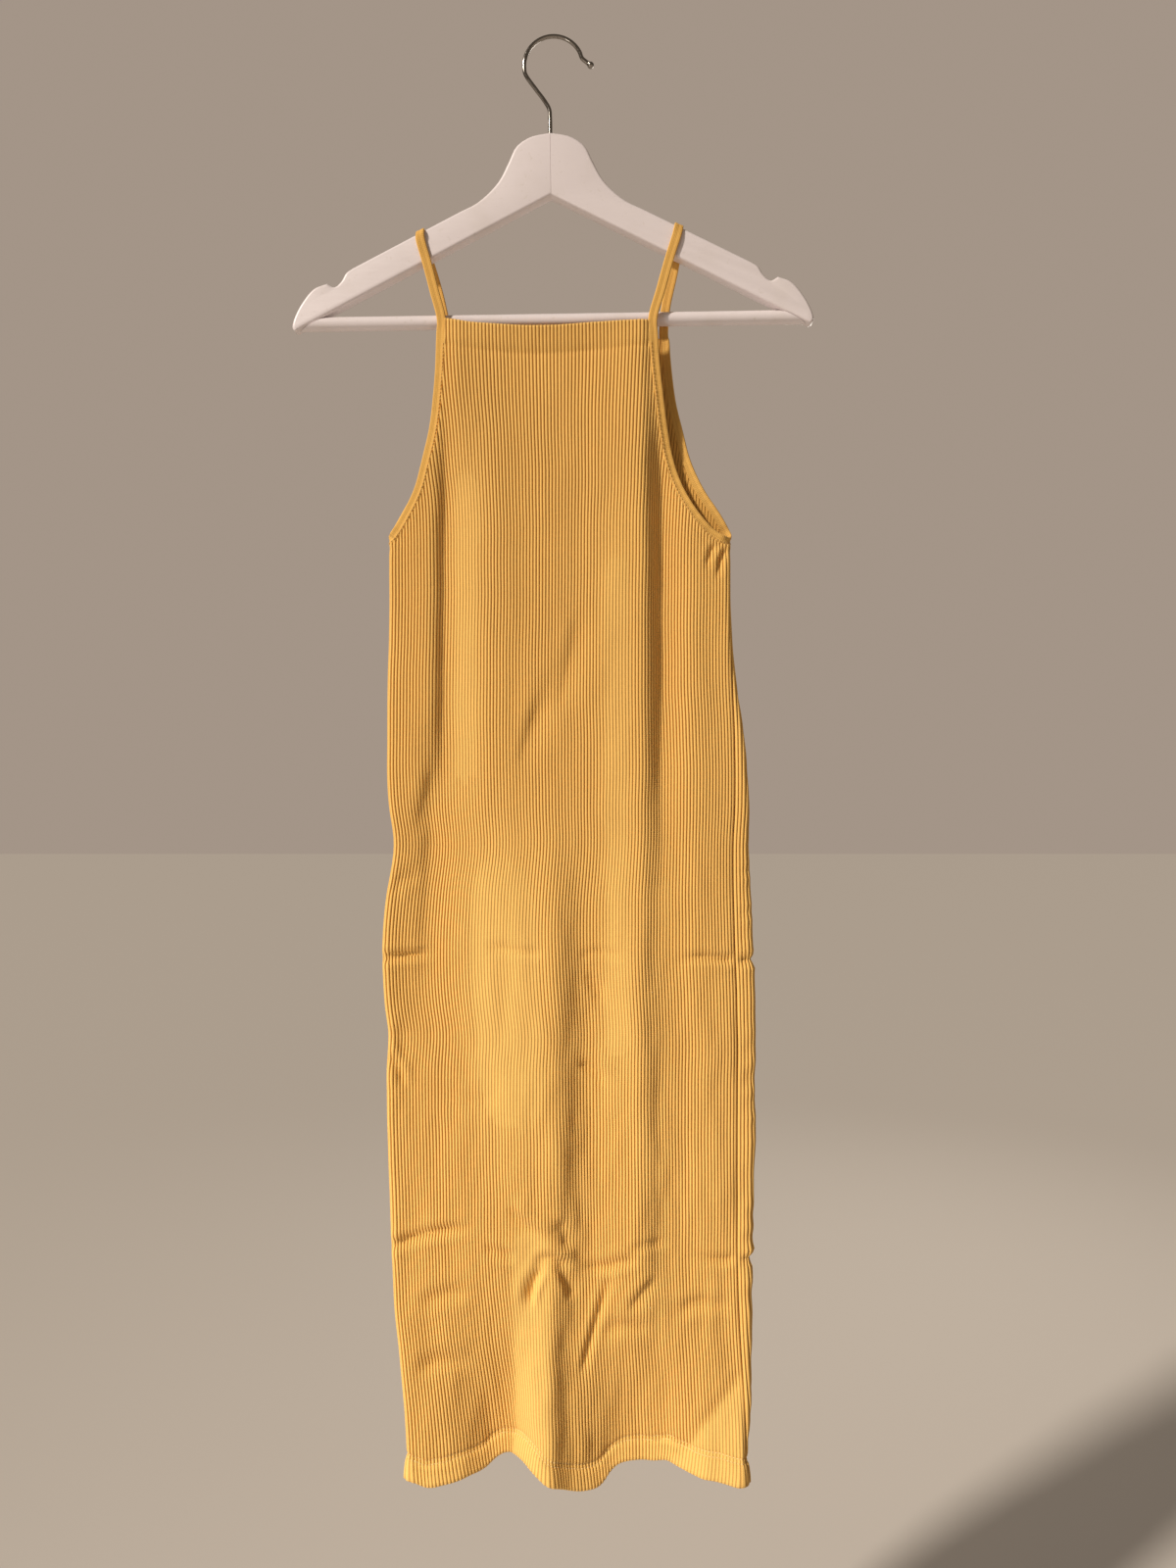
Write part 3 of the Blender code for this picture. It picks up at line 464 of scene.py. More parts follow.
class KnitPanel:
    # one cut panel: its columns follow the ribs from the hem to the neckline or an armhole

    def __init__(self, face):
        self.face = face
        self.count = knit["ribs"] * knit["stepsPerRib"]
        self.columns = np.arange(self.count + 1)
        self.cuts = [self.edgeUnderBinding(side) for side in outwards]
        yoke = edges["yoke"]
        self.heights = np.append(np.arange(-1186.0, yoke, 5.0), np.arange(yoke, -223.0, 2.5))
        placed = zip(*(self.placeColumns(height) for height in self.heights))
        self.points, self.normals, self.step = (np.array(part) for part in placed)
        self.tops = self.findTops()

    def edgeUnderBinding(self, side):
        # the armhole's cut edge, taken a little further out so that the binding covers it
        edge = movedOut(armholeCurve(self.face, side), side, knit["underBinding"])
        edge[:, 1] = np.maximum.accumulate(edge[:, 1])
        return edge

    def placeColumns(self, height):
        even, points, normal, rightSide, around = closedSection(height)
        seam = rightSide - fromTable(sections, "wrap", height)
        first, last = (0.0, seam) if self.face == "front" else (seam, around)
        first, last = first + knit["seamGap"] / 2, last - knit["seamGap"] / 2
        where = first + (last - first) * self.columns / self.count
        if height > edges["underarm"]:
            share = (height - edges["underarm"]) / (necks["front"][0].height - edges["underarm"])
            middle = first + (last - first) / 2
            where = middle + (where - middle) * (1 + (knit["neckStretch"] - 1) * float(ease(share)))
            where = np.clip(where, first, last)
        even = np.append(even, around)
        point, normal = (pickAt(where, even, np.vstack([v, v[:1]])) for v in (points, normal))
        return point, unit(normal), (last - first) / self.count

    def at(self, column, height):
        i = np.clip(np.searchsorted(self.heights, height) - 1, 0, len(self.heights) - 2)
        low, high = self.heights[i], self.heights[i + 1]
        t = np.clip((height - low) / (high - low), 0.0, 1.0)[..., None]
        point = (1 - t) * self.points[i, column] + t * self.points[i + 1, column]
        normal = (1 - t) * self.normals[i, column] + t * self.normals[i + 1, column]
        return point, unit(normal)

    def neckHeight(self, x):
        return smoothThrough(*zip(*necks[self.face]), x)

    def room(self, height):
        # how far each column's place at its height is inside the cut
        x = self.at(self.columns, height)[0][:, 0]
        left, right = (np.interp(height, edge[:, 1], edge[:, 0]) for edge in self.cuts)
        return np.minimum(np.minimum(x - left, right - x), self.neckHeight(x) - height)

    def findTops(self):
        low = np.full(self.count + 1, edges["underarm"])
        high = low.copy()
        climbing = np.ones(self.count + 1, bool)
        while climbing.any():
            climbing &= self.room(high) > 0
            low = np.where(climbing, high, low)
            high = np.where(climbing, high + 2.0, high)
        for _ in range(14):
            middle = (low + high) / 2
            inside = self.room(middle) > 0
            low, high = np.where(inside, middle, low), np.where(inside, high, middle)
        return low

    def reachesNeck(self):
        x = self.at(self.columns, self.tops)[0][:, 0]
        return self.tops > self.neckHeight(x) - 1.0


def lowerRows():
    # heights above the hem's edge, close together at its fold and its stitching, then up to the yoke
    depth, gap = edges["hemDepth"], edges["stitchGap"]
    rows = [0.0, 0.3, 1.1, 4.0, 8.0, 12.0]
    for line in (depth - gap / 2, depth + gap / 2):
        rows += [line - 0.9, line, line + 0.9]
    rows += [22.5, 26.0]
    while rows[-1] < edges["yoke"] - edges["hem"] - knit["rowStep"]:
        height = edges["hem"] + rows[-1]
        fine = any(low < height < high for low, high in knit["fineRows"])
        rows.append(rows[-1] + (knit["fineRowStep"] if fine else knit["rowStep"]))
    return np.array(rows) + edges["hem"]


def upperShares(count):
    # shares of the way from the yoke to each column's top, close together at the neckline's fold and edge
    reach = necks["front"][0].height - edges["yoke"] - 4.0
    line = 1 - edges["neckHemDepth"] / reach
    near = line + np.array([-0.009, -0.0045, 0, 0.0045, 0.011, 0.03, 0.052, 0.074])
    return np.concatenate([np.linspace(0.0, line - 0.02, count), near, [0.988, 0.9945, 0.9985, 1.0]])


def creaseDepths(face, x, height):
    total = np.zeros_like(x)
    for crease in sideCreases + (frontCreases if face == "front" else backCreases):
        path = alongCurve(crease.points, 20)
        reach = 4.5 * crease.width
        low, high = path.min(axis=0) - reach, path.max(axis=0) + reach
        near = (x > low[0]) & (x < high[0]) & (height > low[1]) & (height < high[1])
        if not near.any():
            continue
        place = np.stack([x[near], height[near]], axis=1)[:, None, :]
        start, run = path[None, :-1], np.diff(path, axis=0)[None]
        share = np.clip(((place - start) * run).sum(axis=2) / (run ** 2).sum(axis=2), 0.0, 1.0)
        offset = place - (start + run * share[..., None])
        distance = np.linalg.norm(offset, axis=2)
        nearest = distance.argmin(axis=1)
        pick = np.arange(len(nearest))
        (runX, runZ), (awayX, awayZ) = run[0, nearest].T, offset[pick, nearest].T
        half = crease.width * (1 + crease.lean * np.sign(runX * awayZ - runZ * awayX))
        along = (nearest + share[pick, nearest]) / (len(path) - 1)
        d = distance[pick, nearest]
        form = bell(d, half) - crease.lip * bell(d - 2.1 * half, half)
        ends = ease(along / 0.3) * ease((1 - along) / 0.3)
        total[near] += knit["creaseStrength"] * crease.depth * form * ends
    return total


def panelRelief(panel, x, height):
    # what lies on the panel's smooth form, outwards, in millimetres
    face = panel.face
    relief = -creaseDepths(face, x, height)
    seed = 3.7 if face == "front" else 11.3
    low, high = knit["unevenness"]
    rolls = slowNoise(x, height, 17.0, 70.0, seed) + 0.5 * slowNoise(x, height, 9.0, 24.0, seed + 5)
    rolls += 1.2 * slowNoise(x + 0.7 * height, height, 46.0, 120.0, seed + 9)
    relief += rolls * (low + (high - low) * ease((knit["unevenTop"] - height) / 420))
    width = panel.step.mean()
    fromSeam = np.minimum(panel.columns, panel.count - panel.columns) * width
    relief = relief * ease(fromSeam / 7.0) - knit["seamPull"] * bell(fromSeam, 1.7)
    if face == "back":
        strip = bell(panel.columns * width - 9.0, 5.0)
        wave = np.sin(height / 3.3 + 2.6 * np.sin(height / 37.0))
        wave *= 0.55 + 0.45 * np.sin(height / 23.0 + 1.0)
        relief -= knit["puckerDepth"] * strip * wave * ease((knit["unevenTop"] - height) / 120)
    return relief


def pulledFlat(face, x, height):
    amount = np.zeros_like(x)
    if face == "back":
        return amount
    for band in flatBands:
        ends = ease((band.top - height) / band.fade) * ease((height - band.bottom) / band.fade)
        across = bell(x - middleOf(band, height), band.half, 4)
        amount = np.maximum(amount, band.amount * ends * across)
    return np.maximum(amount, 0.65 * ease(beyondCorner(x, height) / 5.0))


def hemRelief(aboveHem):
    # a turned hem: a little proud, standing out at its edge, and pulled in along its two lines of stitches
    depth, gap = edges["hemDepth"], edges["stitchGap"]
    form = edges["bandBulge"] * ease((depth - aboveHem) / 3.0) * ease(aboveHem / 2.0 + 0.3)
    for line in (depth - gap / 2, depth + gap / 2):
        form = form - edges["stitchGroove"] * bell(aboveHem - line, 0.9)
    return form + edges["hemLean"] * np.clip(1 - aboveHem / depth, 0, 1)


def neckRelief(face, x, belowTop):
    # a turned-in edge: a soft line at its depth, and the edge itself leaning forward in the middle
    inside = edges["neckHemDepth"] - belowTop
    form = 0.35 * ease(inside / 6.0) - 0.45 * bell(inside, 2.6)
    lean = edges["neckLean"] * (1.0 if face == "front" else 0.5)
    return form + lean * np.clip(inside / edges["neckHemDepth"], 0, 1) * bell(x + 4, 60, 4)


def buildPanel(name, panel, materials):
    columns, perRib = panel.columns, knit["stepsPerRib"]
    lower, shares = lowerRows(), upperShares(28)
    hemX = panel.at(columns, np.full(len(columns), edges["hem"]))[0][:, 0]
    lift = smoothThrough(*zip(*hemLifts), hemX)
    rising = lower[:, None] + lift * ease((edges["hemLiftTop"] - lower) / edges["hemLiftFade"])[:, None]
    height = np.vstack([rising, edges["yoke"] + shares[:, None] * (panel.tops - edges["yoke"])])
    if len(height) % 2 == 0:
        height = np.delete(height, len(lower) + 1, axis=0)
    point, normal = panel.at(np.broadcast_to(columns, height.shape), height)
    x, aboveHem, belowTop = point[..., 0], height - height[:1], panel.tops - height
    atNeck = panel.reachesNeck()
    gathers = knit["gatherDepth"] * bell(belowTop, 9.0) * np.sin(x / 1.9 + height / 2.3)
    gathers *= ease((aboveHem - 600) / 60)
    relief = panelRelief(panel, x, height) + hemRelief(aboveHem)
    relief += np.where(atNeck, neckRelief(panel.face, x, belowTop), gathers)

    ribs = 1 - edges["hemFlattening"] * bell(aboveHem, 16.0, 4)
    ribs -= edges["neckFlattening"] * np.where(atNeck, bell(belowTop, 19, 6), 0)
    ribs *= (1 - pulledFlat(panel.face, x, height)) * knit["ribHeight"]
    ribs *= np.array(knit["ribShape"])[columns % perRib]
    sink = np.zeros((len(height), 1))
    sink[[0, -1]], sink[[1, -2]] = edges["edgeRound"]
    outward = relief + ribs * np.where(sink > 0, 0.5, 1.0) - sink
    wander = knit["wander"] * slowNoise(x, height, 60.0, 34.0, 21.0)
    outside = np.dstack([point + outward[..., None] * normal, height])
    outside[..., 0] += wander

    coarse = np.s_[::2, ::perRib]
    doubled = (aboveHem < edges["hemDepth"]) | (atNeck & (belowTop < edges["neckHemDepth"]))
    thickness = np.where(doubled, knit["hemThickness"], knit["thickness"])
    inner = np.dstack([point + (relief - thickness)[..., None] * normal, height])[coarse]
    inner[..., 0] += wander[coarse]
    inner[0, :, 2] += 0.5
    inner[-1, :, 2] -= 0.5

    o = np.arange(height.size).reshape(height.shape)
    i = height.size + np.arange(inner[..., 0].size).reshape(inner.shape[:2])
    cloth, lining = gridFaces(o), gridFaces(i.T)
    faces = cloth + lining
    for row in (0, -1):  # the hem's and the neckline's rims
        faces += rimFaces(o[row].tolist(), i[row].tolist(), perRib)
    for column in (0, -1):  # the side seams
        faces += rimFaces(o[:, column].tolist(), i[:, column].tolist(), 2)
    inside = np.zeros(len(faces), np.int32)
    inside[len(cloth):len(cloth) + len(lining)] = 1
    along = np.dstack([np.broadcast_to(columns / perRib, height.shape), height])
    place = np.vstack([along.reshape(-1, 2), along[coarse].reshape(-1, 2)])
    points = np.vstack([outside.reshape(-1, 3), inner.reshape(-1, 3)])
    piece = makePiece(name, points, faces, materials, place, inside, sharpAngle=80)
    return piece, outside, np.dstack([normal, np.zeros(height.shape)]), aboveHem


# Stitches

thread = {"length": 2.6, "pitch": 3.0, "radius": 0.33, "stand": 0.42, "sides": 5}
threadForm = table(  # along one stitch
    "share rise girth",
    (-0.5, -0.35, 0.35), (-0.42, 0.1, 0.85), (-0.15, 0.95, 1.0),
    (0.15, 0.95, 1.0), (0.42, 0.1, 0.85), (0.5, -0.35, 0.35),
)


def buildStitches(name, lines, material):
    # short threads along lines of points, each line given with the way that its cloth faces
    points, faces = [], []
    shares, rise, girth = np.array(threadForm).T
    angles = 2 * math.pi * np.arange(thread["sides"]) / thread["sides"]
    for line, facing in lines:
        length = lengthAlong(line)
        for middle in np.arange(thread["pitch"], length[-1] - thread["pitch"], thread["pitch"]):
            where = middle + shares * thread["length"]
            out = unit(pickAt(where, length, facing))
            centre = pickAt(where, length, line) + out * (rise * thread["stand"])[:, None]
            across = unit(np.cross(unit(np.gradient(centre, axis=0)), out))
            faces += tubeFaces(len(shares), thread["sides"], start=len(points))
            for c, o, a, g in zip(centre, out, across, girth):
                ring = np.cos(angles)[:, None] * a + np.sin(angles)[:, None] * o
                points.extend(c + thread["radius"] * g * ring)
    return makePiece(name, points, faces, [material])


# Straps, which run on as the armhole bindings

strap = {
    "width": 7.6,
    "thickness": 2.3,
    "stations": 300,
    "corner": 0.85,
    "drop": 0.7,
    "bindingGap": 0.5,
    "clearance": 0.55,
    "overArm": 1.7,             # its thickness where it is stretched over an arm
    "stitchFromEdge": 1.5,
}
strapPoints = {                 # along X and up
    ("left", "front"): ((-90.6, -234.2), (-96.6, -210.4), (-103.1, -185.6), (-108.1, -167.7)),
    ("left", "back"): ((-87.6, -243.0), (-92.6, -216.0), (-101.2, -185.0), (-107.4, -167.0)),
    ("right", "front"): ((81.2, -234.2), (87.7, -210.4), (95.0, -183.6), (101.2, -163.8)),
    ("right", "back"): ((91.2, -243.0), (92.6, -220.0), (99.8, -186.0), (103.4, -163.0)),
}
halfSection = (                 # over the outer face, in shares of half the width and half the thickness
    (1.0, 0.0), (0.97, 0.45), (0.88, 0.8), (0.74, 1.0), (0.58, 1.0), (0.4, 0.9), (0.2, 0.8),
    (0.0, 0.76), (-0.2, 0.8), (-0.4, 0.9), (-0.58, 1.0), (-0.74, 1.0), (-0.88, 0.8), (-0.97, 0.45),
)

# Hanger

hangerWood = {
    "centre": -3.6,
    "tilt": math.radians(0.9),
    "thickness": 12.0,
    "edge": 2.4,
    "headTop": -80.0,
    "jointWidth": 0.7,
    "jointDepth": 0.45,
    "barHeight": -232.0,
    "barRadius": 5.6,
    "barGap": 0.3,
    "undersideStart": (0.0, -131.0),
    "undersideEnd": (205.5, -236.6),
}
armOutline = table(             # the right half, from the head's top down the arm and back under it
    "name smooth points",
    ("head", True, ((0, hangerWood["headTop"]), (16, -83.1), (28, -91.1), (34, -103), (43.5, -120.4),
                    (60, -136), (74, -143.1))),
    ("shoulder", False, ((74, -143.1), (163, -188.2))),
    ("notch", True, ((163, -188.2), (168.4, -192), (172.4, -198.6), (178.2, -203.4), (184.2, -200.4))),
    ("end", True, ((184.2, -200.4), (195, -204.6), (205.6, -217.2), (211.6, -229), (213.4, -236))),
    ("underside", False, ((213.4, -236), (210.6, -239.4), (205.5, -236.6), (0, -131))),
)
hookWire = {"radius": 1.65, "sides": 24, "stations": 150, "bend": 24.15, "ball": 2.7, "stem": 14.0}


def armholeEdge(face, side):
    # the binding's middle line beside one panel's armhole, from the neckline's corner to the underarm
    curve = armholeCurve(face, side)[::-1]
    seamX = fromTable(sections, side, edges["underarm"])
    onFace = (curve[:, 1] < -246.0) & (np.abs(curve[:, 0] - seamX) > knit["edgeTurn"] + 1.5)
    edge = alongCurve(curve[onFace], 17)
    middle = movedOut(edge, side, strap["width"] / 2 + strap["bindingGap"])
    surface, inward = (frontFace, 1) if face == "front" else (backFace, -1)
    return [
        (x, float(surface(np.array([xEdge]), h)[0]) + inward * knit["thickness"] * 0.4, z)
        for (x, z), (xEdge, h) in zip(middle, edge)
    ]


def armTop(x):
    # the arm's upper edge where a strap crosses it at x: its height and slope
    (u0, z0), (u1, z1) = armOutline[1].points
    u = abs(x + z0 * math.sin(hangerWood["tilt"]) - hangerWood["centre"])
    side = 1 if x > hangerWood["centre"] else -1
    slope = (z1 - z0) / (u1 - u0)
    height = z0 + slope * (u - u0) + x * math.sin(hangerWood["tilt"])
    return height, math.atan(slope) * side + hangerWood["tilt"]



def strapRoute(side):
    # the middle line of one strap with the way that its outer face looks, as a closed loop
    outward = outwards[side]
    front, back = (strapPoints[side, face] for face in ("front", "back"))
    frontEdge, backEdge = armholeEdge("front", side), armholeEdge("back", side)
    offArm = hangerWood["thickness"] / 2 + strap["clearance"] + strap["thickness"] / 2

    def strapDepth(z, cornerDepth):
        return offArm + (cornerDepth - offArm) * float(ease((-184.0 - z) / 46.0))

    route = [(point, (0.12 * outward, -1, 0)) for point in reversed(frontEdge)]
    route += [((x, -strapDepth(z, -frontEdge[0][1]), z), (0, -1, 0)) for x, z in front]
    crossing = (front[-1][0] + back[-1][0]) / 2 + outward * 0.6
    height, slope = armTop(crossing)
    over = height + (strap["overArm"] / 2 + 0.15) / math.cos(slope)
    for turn, lean in ((-1, 1.4), (0, 1.0), (1, 1.4)):  # round the top of the arm
        place = (crossing, turn * offArm * strap["corner"], over - abs(turn) * strap["drop"])
        route.append((place, (-lean * math.sin(slope), turn, lean * math.cos(slope))))
    route += [((x, strapDepth(z, backEdge[0][1]), z), (0, 1, 0)) for x, z in reversed(back)]
    route += [(point, (0.12 * outward, 1, 0)) for point in backEdge]
    turnX = fromTable(sections, side, edges["underarm"]) - outward * 0.4
    turnDepth = (frontEdge[-1][1] + backEdge[-1][1]) / 2
    turnHeight = edges["underarm"] + strap["bindingGap"] + strap["width"] / 2 + 0.3
    route.append(((turnX, turnDepth, turnHeight), (outward, 0, 0)))
    return route


def buildStrap(name, side, material):
    both = np.array([(*point, *facing) for point, facing in strapRoute(side)])
    stations = alongCurve(both, strap["stations"], closed=True)
    middle, facing = stations[:, :3], stations[:, 3:]
    tangent = unit(np.roll(middle, -1, axis=0) - np.roll(middle, 1, axis=0))
    facing = unit(facing - (facing * tangent).sum(axis=1)[:, None] * tangent)
    across = np.cross(tangent, facing)
    length, count = lengthAlong(middle), len(middle)
    seed = 2.0 if side == "left" else 7.0
    uneven = np.array([noise.noise(Vector((s / 13.0, seed, 0.0))) for s in length])
    swell = np.array([noise.noise(Vector((s / 30.0, seed + 4, 0.0))) for s in length])
    closing = ease(np.minimum(np.arange(count), count - 1 - np.arange(count)) / 8.0)
    bound = ease((-238 - middle[:, 2]) / 30.0)  # 1 where it binds an armhole, 0 where it is a free strap
    gather = (np.sin(length / 1.35) * 0.1 + np.sin(length / 3.1 + seed) * 0.08) * bound
    half = strap["width"] / 2 * (1 + 0.035 * swell * closing)
    free = ease((middle[:, 2] + 215.0) / 40.0)
    plain = strap["thickness"] + (strap["overArm"] - strap["thickness"]) * free
    thick = plain / 2 * (1 + 0.12 * uneven * closing + gather)
    section = np.vstack([halfSection, -np.array(halfSection)])
    points = (
        middle[:, None]
        + (half[:, None] * section[:, 0])[..., None] * across[:, None]
        + (thick[:, None] * section[:, 1])[..., None] * facing[:, None]
    )
    place = np.dstack(np.broadcast_arrays(section[:, 0] * 1.6, length[:, None])).reshape(-1, 2)
    faces = tubeFaces(count, len(section), closed=True)
    piece = makePiece(name, points.reshape(-1, 3), faces, [material], place, sharpAngle=80)
    toPanel = -outwards[side] * np.sign(across[facing[:, 1] < -0.5, 0].mean())
    return piece, middle, across, facing, thick, toPanel * (strap["width"] / 2 - strap["stitchFromEdge"])


def hang(piece):
    piece.data.transform(Matrix.Rotation(-hangerWood["tilt"], 4, "Y"))
    return piece


def halfOutline(perStretch):
    points = []
    for stretch in armOutline:
        run = np.array(stretch.points, float)
        if stretch.smooth:
            run = alongCurve(run, perStretch)
        points += [tuple(p) for p in run[:-1]]
    return points + [armOutline[-1].points[-1]]


def buildHangerBody(material):
    right = halfOutline(22)
    ring = [(hangerWood["centre"] + u, z) for u, z in right + [(-u, z) for u, z in reversed(right[1:-1])]]
    half = hangerWood["thickness"] / 2
    points = [(x, y, z) for y in (-half, half) for x, z in ring]
    body = makePiece("hangerBody", points, tubeFaces(2, len(ring)), [material])
    rounding = body.modifiers.new("rounded edges", "BEVEL")
    rounding.width = hangerWood["edge"] * mm
    rounding.segments = 4
    rounding.limit_method = "ANGLE"
    rounding.angle_limit = math.radians(50)
    cutters = []
    for side in (-1, 1):  # the glued joint of the two arms, a fine groove down the head, front and back
        w, d = hangerWood["jointWidth"] / 2, hangerWood["jointDepth"]
        x, y = hangerWood["centre"], side * half
        profile = [(x - w, y + side * 0.3), (x + w, y + side * 0.3), (x, y - side * d)]
        groove = [(a, b, z) for z in (hangerWood["headTop"] + 6, -160.0) for a, b in profile]
        cutters.append(makePiece(f"jointCutter{side}", groove, tubeFaces(2, 3), [material]))
        cut = body.modifiers.new("joint", "BOOLEAN")
        cut.operation = "DIFFERENCE"
        cut.solver = "EXACT"
        cut.object = cutters[-1]
    mesh = bpy.data.meshes.new_from_object(body.evaluated_get(bpy.context.evaluated_depsgraph_get()))
    body.modifiers.clear()
    body.data = mesh
    for cutter in cutters:
        bpy.data.objects.remove(cutter)
    mesh.shade_smooth()
    mesh.set_sharp_from_angle(angle=math.radians(32))
    return hang(body)


def buildHangerBar(material):
    # a round bar whose ends are cut to the slope of the arms' undersides
    (u0, z0), (u1, z1) = hangerWood["undersideStart"], hangerWood["undersideEnd"]
    lean = (u1 - u0) / (z1 - z0)
    setback = hangerWood["barGap"] / math.sin(math.atan2(z0 - z1, u1 - u0))
    radius, sides, rings, points = hangerWood["barRadius"], 48, 41, []
    for share in np.linspace(-1, 1, rings):
        for angle in 2 * math.pi * np.arange(sides) / sides:
            z = hangerWood["barHeight"] + radius * math.sin(angle)
            reach = u0 + (z - z0) * lean - setback
            points.append((hangerWood["centre"] + share * reach, radius * math.cos(angle), z))
    return hang(makePiece("hangerBar", points, tubeFaces(rings, sides), [material]))


def buildHook(material):
    # up out of the head, round the bend, and out to a ball at the end
    top, bend, radius, sides = (hangerWood["headTop"], *(hookWire[k] for k in ("bend", "radius", "sides")))
    x = hangerWood["centre"]
    stem = [(x, top - hookWire["stem"]), (x, top), (x, -64.5), (-4.2, -58.0), (-8.4, -50.5), (-14.6, -42.0)]
    arc = [
        (bend * math.cos(a), radius - bend + bend * math.sin(a))
        for a in np.radians(np.linspace(196, 14, 15))
    ]
    tip = [(26.6, -19.6), (30.4, -22.6)]
    centres = alongCurve([(x, 0.0, z) for x, z in stem + arc + tip], hookWire["stations"])
    last, direction = centres[-1], unit(centres[-1] - centres[-2])
    wire = centres[np.linalg.norm(centres - last, axis=1) > hookWire["ball"] * 0.9]
    turns = np.radians(np.linspace(-48, 88, 16))
    ball = last + np.sin(turns)[:, None] * hookWire["ball"] * direction
    radii = np.append(np.full(len(wire), radius), hookWire["ball"] * np.cos(turns))
    centres = np.vstack([wire, ball])
    across = np.cross(unit(np.gradient(centres, axis=0)), (0.0, 1.0, 0.0))
    points = [
        centre + r * (math.cos(a) * side + math.sin(a) * np.array((0, 1, 0)))
        for centre, r, side in zip(centres, radii, across) for a in 2 * math.pi * np.arange(sides) / sides
    ]
    return hang(makePiece("hangerHook", points, tubeFaces(len(centres), sides), [material]))


# Materials

def connect(tree, sockets, given):
    # what each socket gets, by its number or name: a value, or another node's output
    for label, value in given.items():
        if isinstance(value, bpy.types.NodeSocket):
            tree.links.new(value, sockets[label])
        else:
            sockets[label].default_value = (*value, 1) if sockets[label].type == "RGBA" else value


def addNode(tree, kind, given, **settings):
    node = tree.nodes.new("ShaderNode" + kind)
    for name, value in settings.items():
        setattr(node, name, value)
    connect(tree, node.inputs, given)
    return node


def mathNode(tree, operation, *values):
    return addNode(tree, "Math", dict(enumerate(values)), operation=operation).outputs[0]


def ramp(tree, value, low, high, lowTo=0.0, highTo=1.0):
    given = dict(enumerate((value, low, high, lowTo, highTo)))
    return addNode(tree, "MapRange", given, interpolation_type="SMOOTHSTEP").outputs[0]


def mixColours(tree, factor, first, second):
    return addNode(tree, "Mix", {0: factor, 6: first, 7: second}, data_type="RGBA").outputs[2]


def noiseNode(tree, vector, scale, detail=3.0):
    given = {"Vector": vector, "Scale": scale, "Detail": detail, "Roughness": 0.55}
    return addNode(tree, "TexNoise", given).outputs["Fac"]


def objectPlace(tree):
    return tree.nodes.new("ShaderNodeTexCoord").outputs["Object"]


def newMaterial(name, colour, roughness, given={}):
    material = bpy.data.materials.new(name)
    material.use_nodes = True
    tree = material.node_tree
    surface = tree.nodes["Principled BSDF"].inputs
    connect(tree, surface, {"Base Color": colour, "Roughness": roughness, **given})
    return material, tree, surface


def newGroup(name, inputs, outputs):
    # a node group with its inputs' usual values; an output called Color is a colour, any other a number
    group = bpy.data.node_groups.new(name, "ShaderNodeTree")
    for label, value in inputs.items():
        kind = "NodeSocketColor" if isinstance(value, tuple) else "NodeSocketFloat"
        socket = group.interface.new_socket(label, in_out="INPUT", socket_type=kind)
        socket.default_value = (*value, 1) if isinstance(value, tuple) else value
    for label in outputs:
        kind = "NodeSocketColor" if label == "Color" else "NodeSocketFloat"
        group.interface.new_socket(label, in_out="OUTPUT", socket_type=kind)
    return group, group.nodes.new("NodeGroupInput").outputs, group.nodes.new("NodeGroupOutput").inputs


def buildStitchGroup():
    # knit stitches: small legs that lean left and right in turn along each rib, and the line between ribs
    inputs = {"Stitch Length": 1.5, "Legs": 2.0}
    group, given, result = newGroup("knit stitches", inputs, ("Height", "Between Ribs", "Fuzz"))
    maths = partial(mathNode, group)
    split = addNode(group, "SeparateXYZ", {0: addNode(group, "UVMap", {}, uv_map="knit").outputs[0]}).outputs
    inRib = maths("FRACT", split[0])
    fromMiddle = maths("ABSOLUTE", maths("SUBTRACT", inRib, 0.5))
    lean = maths("MULTIPLY", fromMiddle, 1.1)
    step = maths("ADD", maths("DIVIDE", split[1], given["Stitch Length"]), lean)
    loop = maths("ABSOLUTE", maths("SUBTRACT", maths("FRACT", step), 0.5))
    legs = maths("PINGPONG", maths("MULTIPLY", inRib, given["Legs"]), 0.5)
    height = maths("MULTIPLY", ramp(group, loop, 0.05, 0.5), ramp(group, legs, 0.0, 0.3))
    connect(group, result, {
        "Height": height, "Between Ribs": ramp(group, fromMiddle, 0.2, 0.46),
        "Fuzz": noiseNode(group, objectPlace(group), 900.0, 2.0),
    })
    return group


def buildYarnGroup():
    # the yarn's colour: slow changes over the cloth, heathered threads, and painted shade that darkens the
    # lines between ribs
    inputs = {
        "Light": (0.9, 0.55, 0.16), "Dark Tone And Rib Shade": (0.5, 0.22, 0.04), "Between Ribs": 0.0, "Rib Shading": 0.6,
        "Unevenness": 0.2,
    }
    group, given, result = newGroup("yarn tone and painted rib shade", inputs, ("Color",))
    maths = partial(mathNode, group)
    place = objectPlace(group)
    slow = ramp(group, noiseNode(group, place, 9.0), 0.3, 0.7)
    threads = ramp(group, noiseNode(group, place, 420.0, 2.0), 0.3, 0.7)
    uneven = maths("MULTIPLY", maths("ADD", slow, threads), given["Unevenness"])
    # painted shade: the colour darkens between the ribs, where their grooves lie in shade
    deep = maths("MULTIPLY", given["Between Ribs"], given["Rib Shading"])
    amount = maths("MINIMUM", maths("ADD", maths("MULTIPLY", uneven, 0.5), deep), 1.0)
    connect(group, result, {"Color": mixColours(group, amount, given["Light"], given["Dark Tone And Rib Shade"])})
    return group


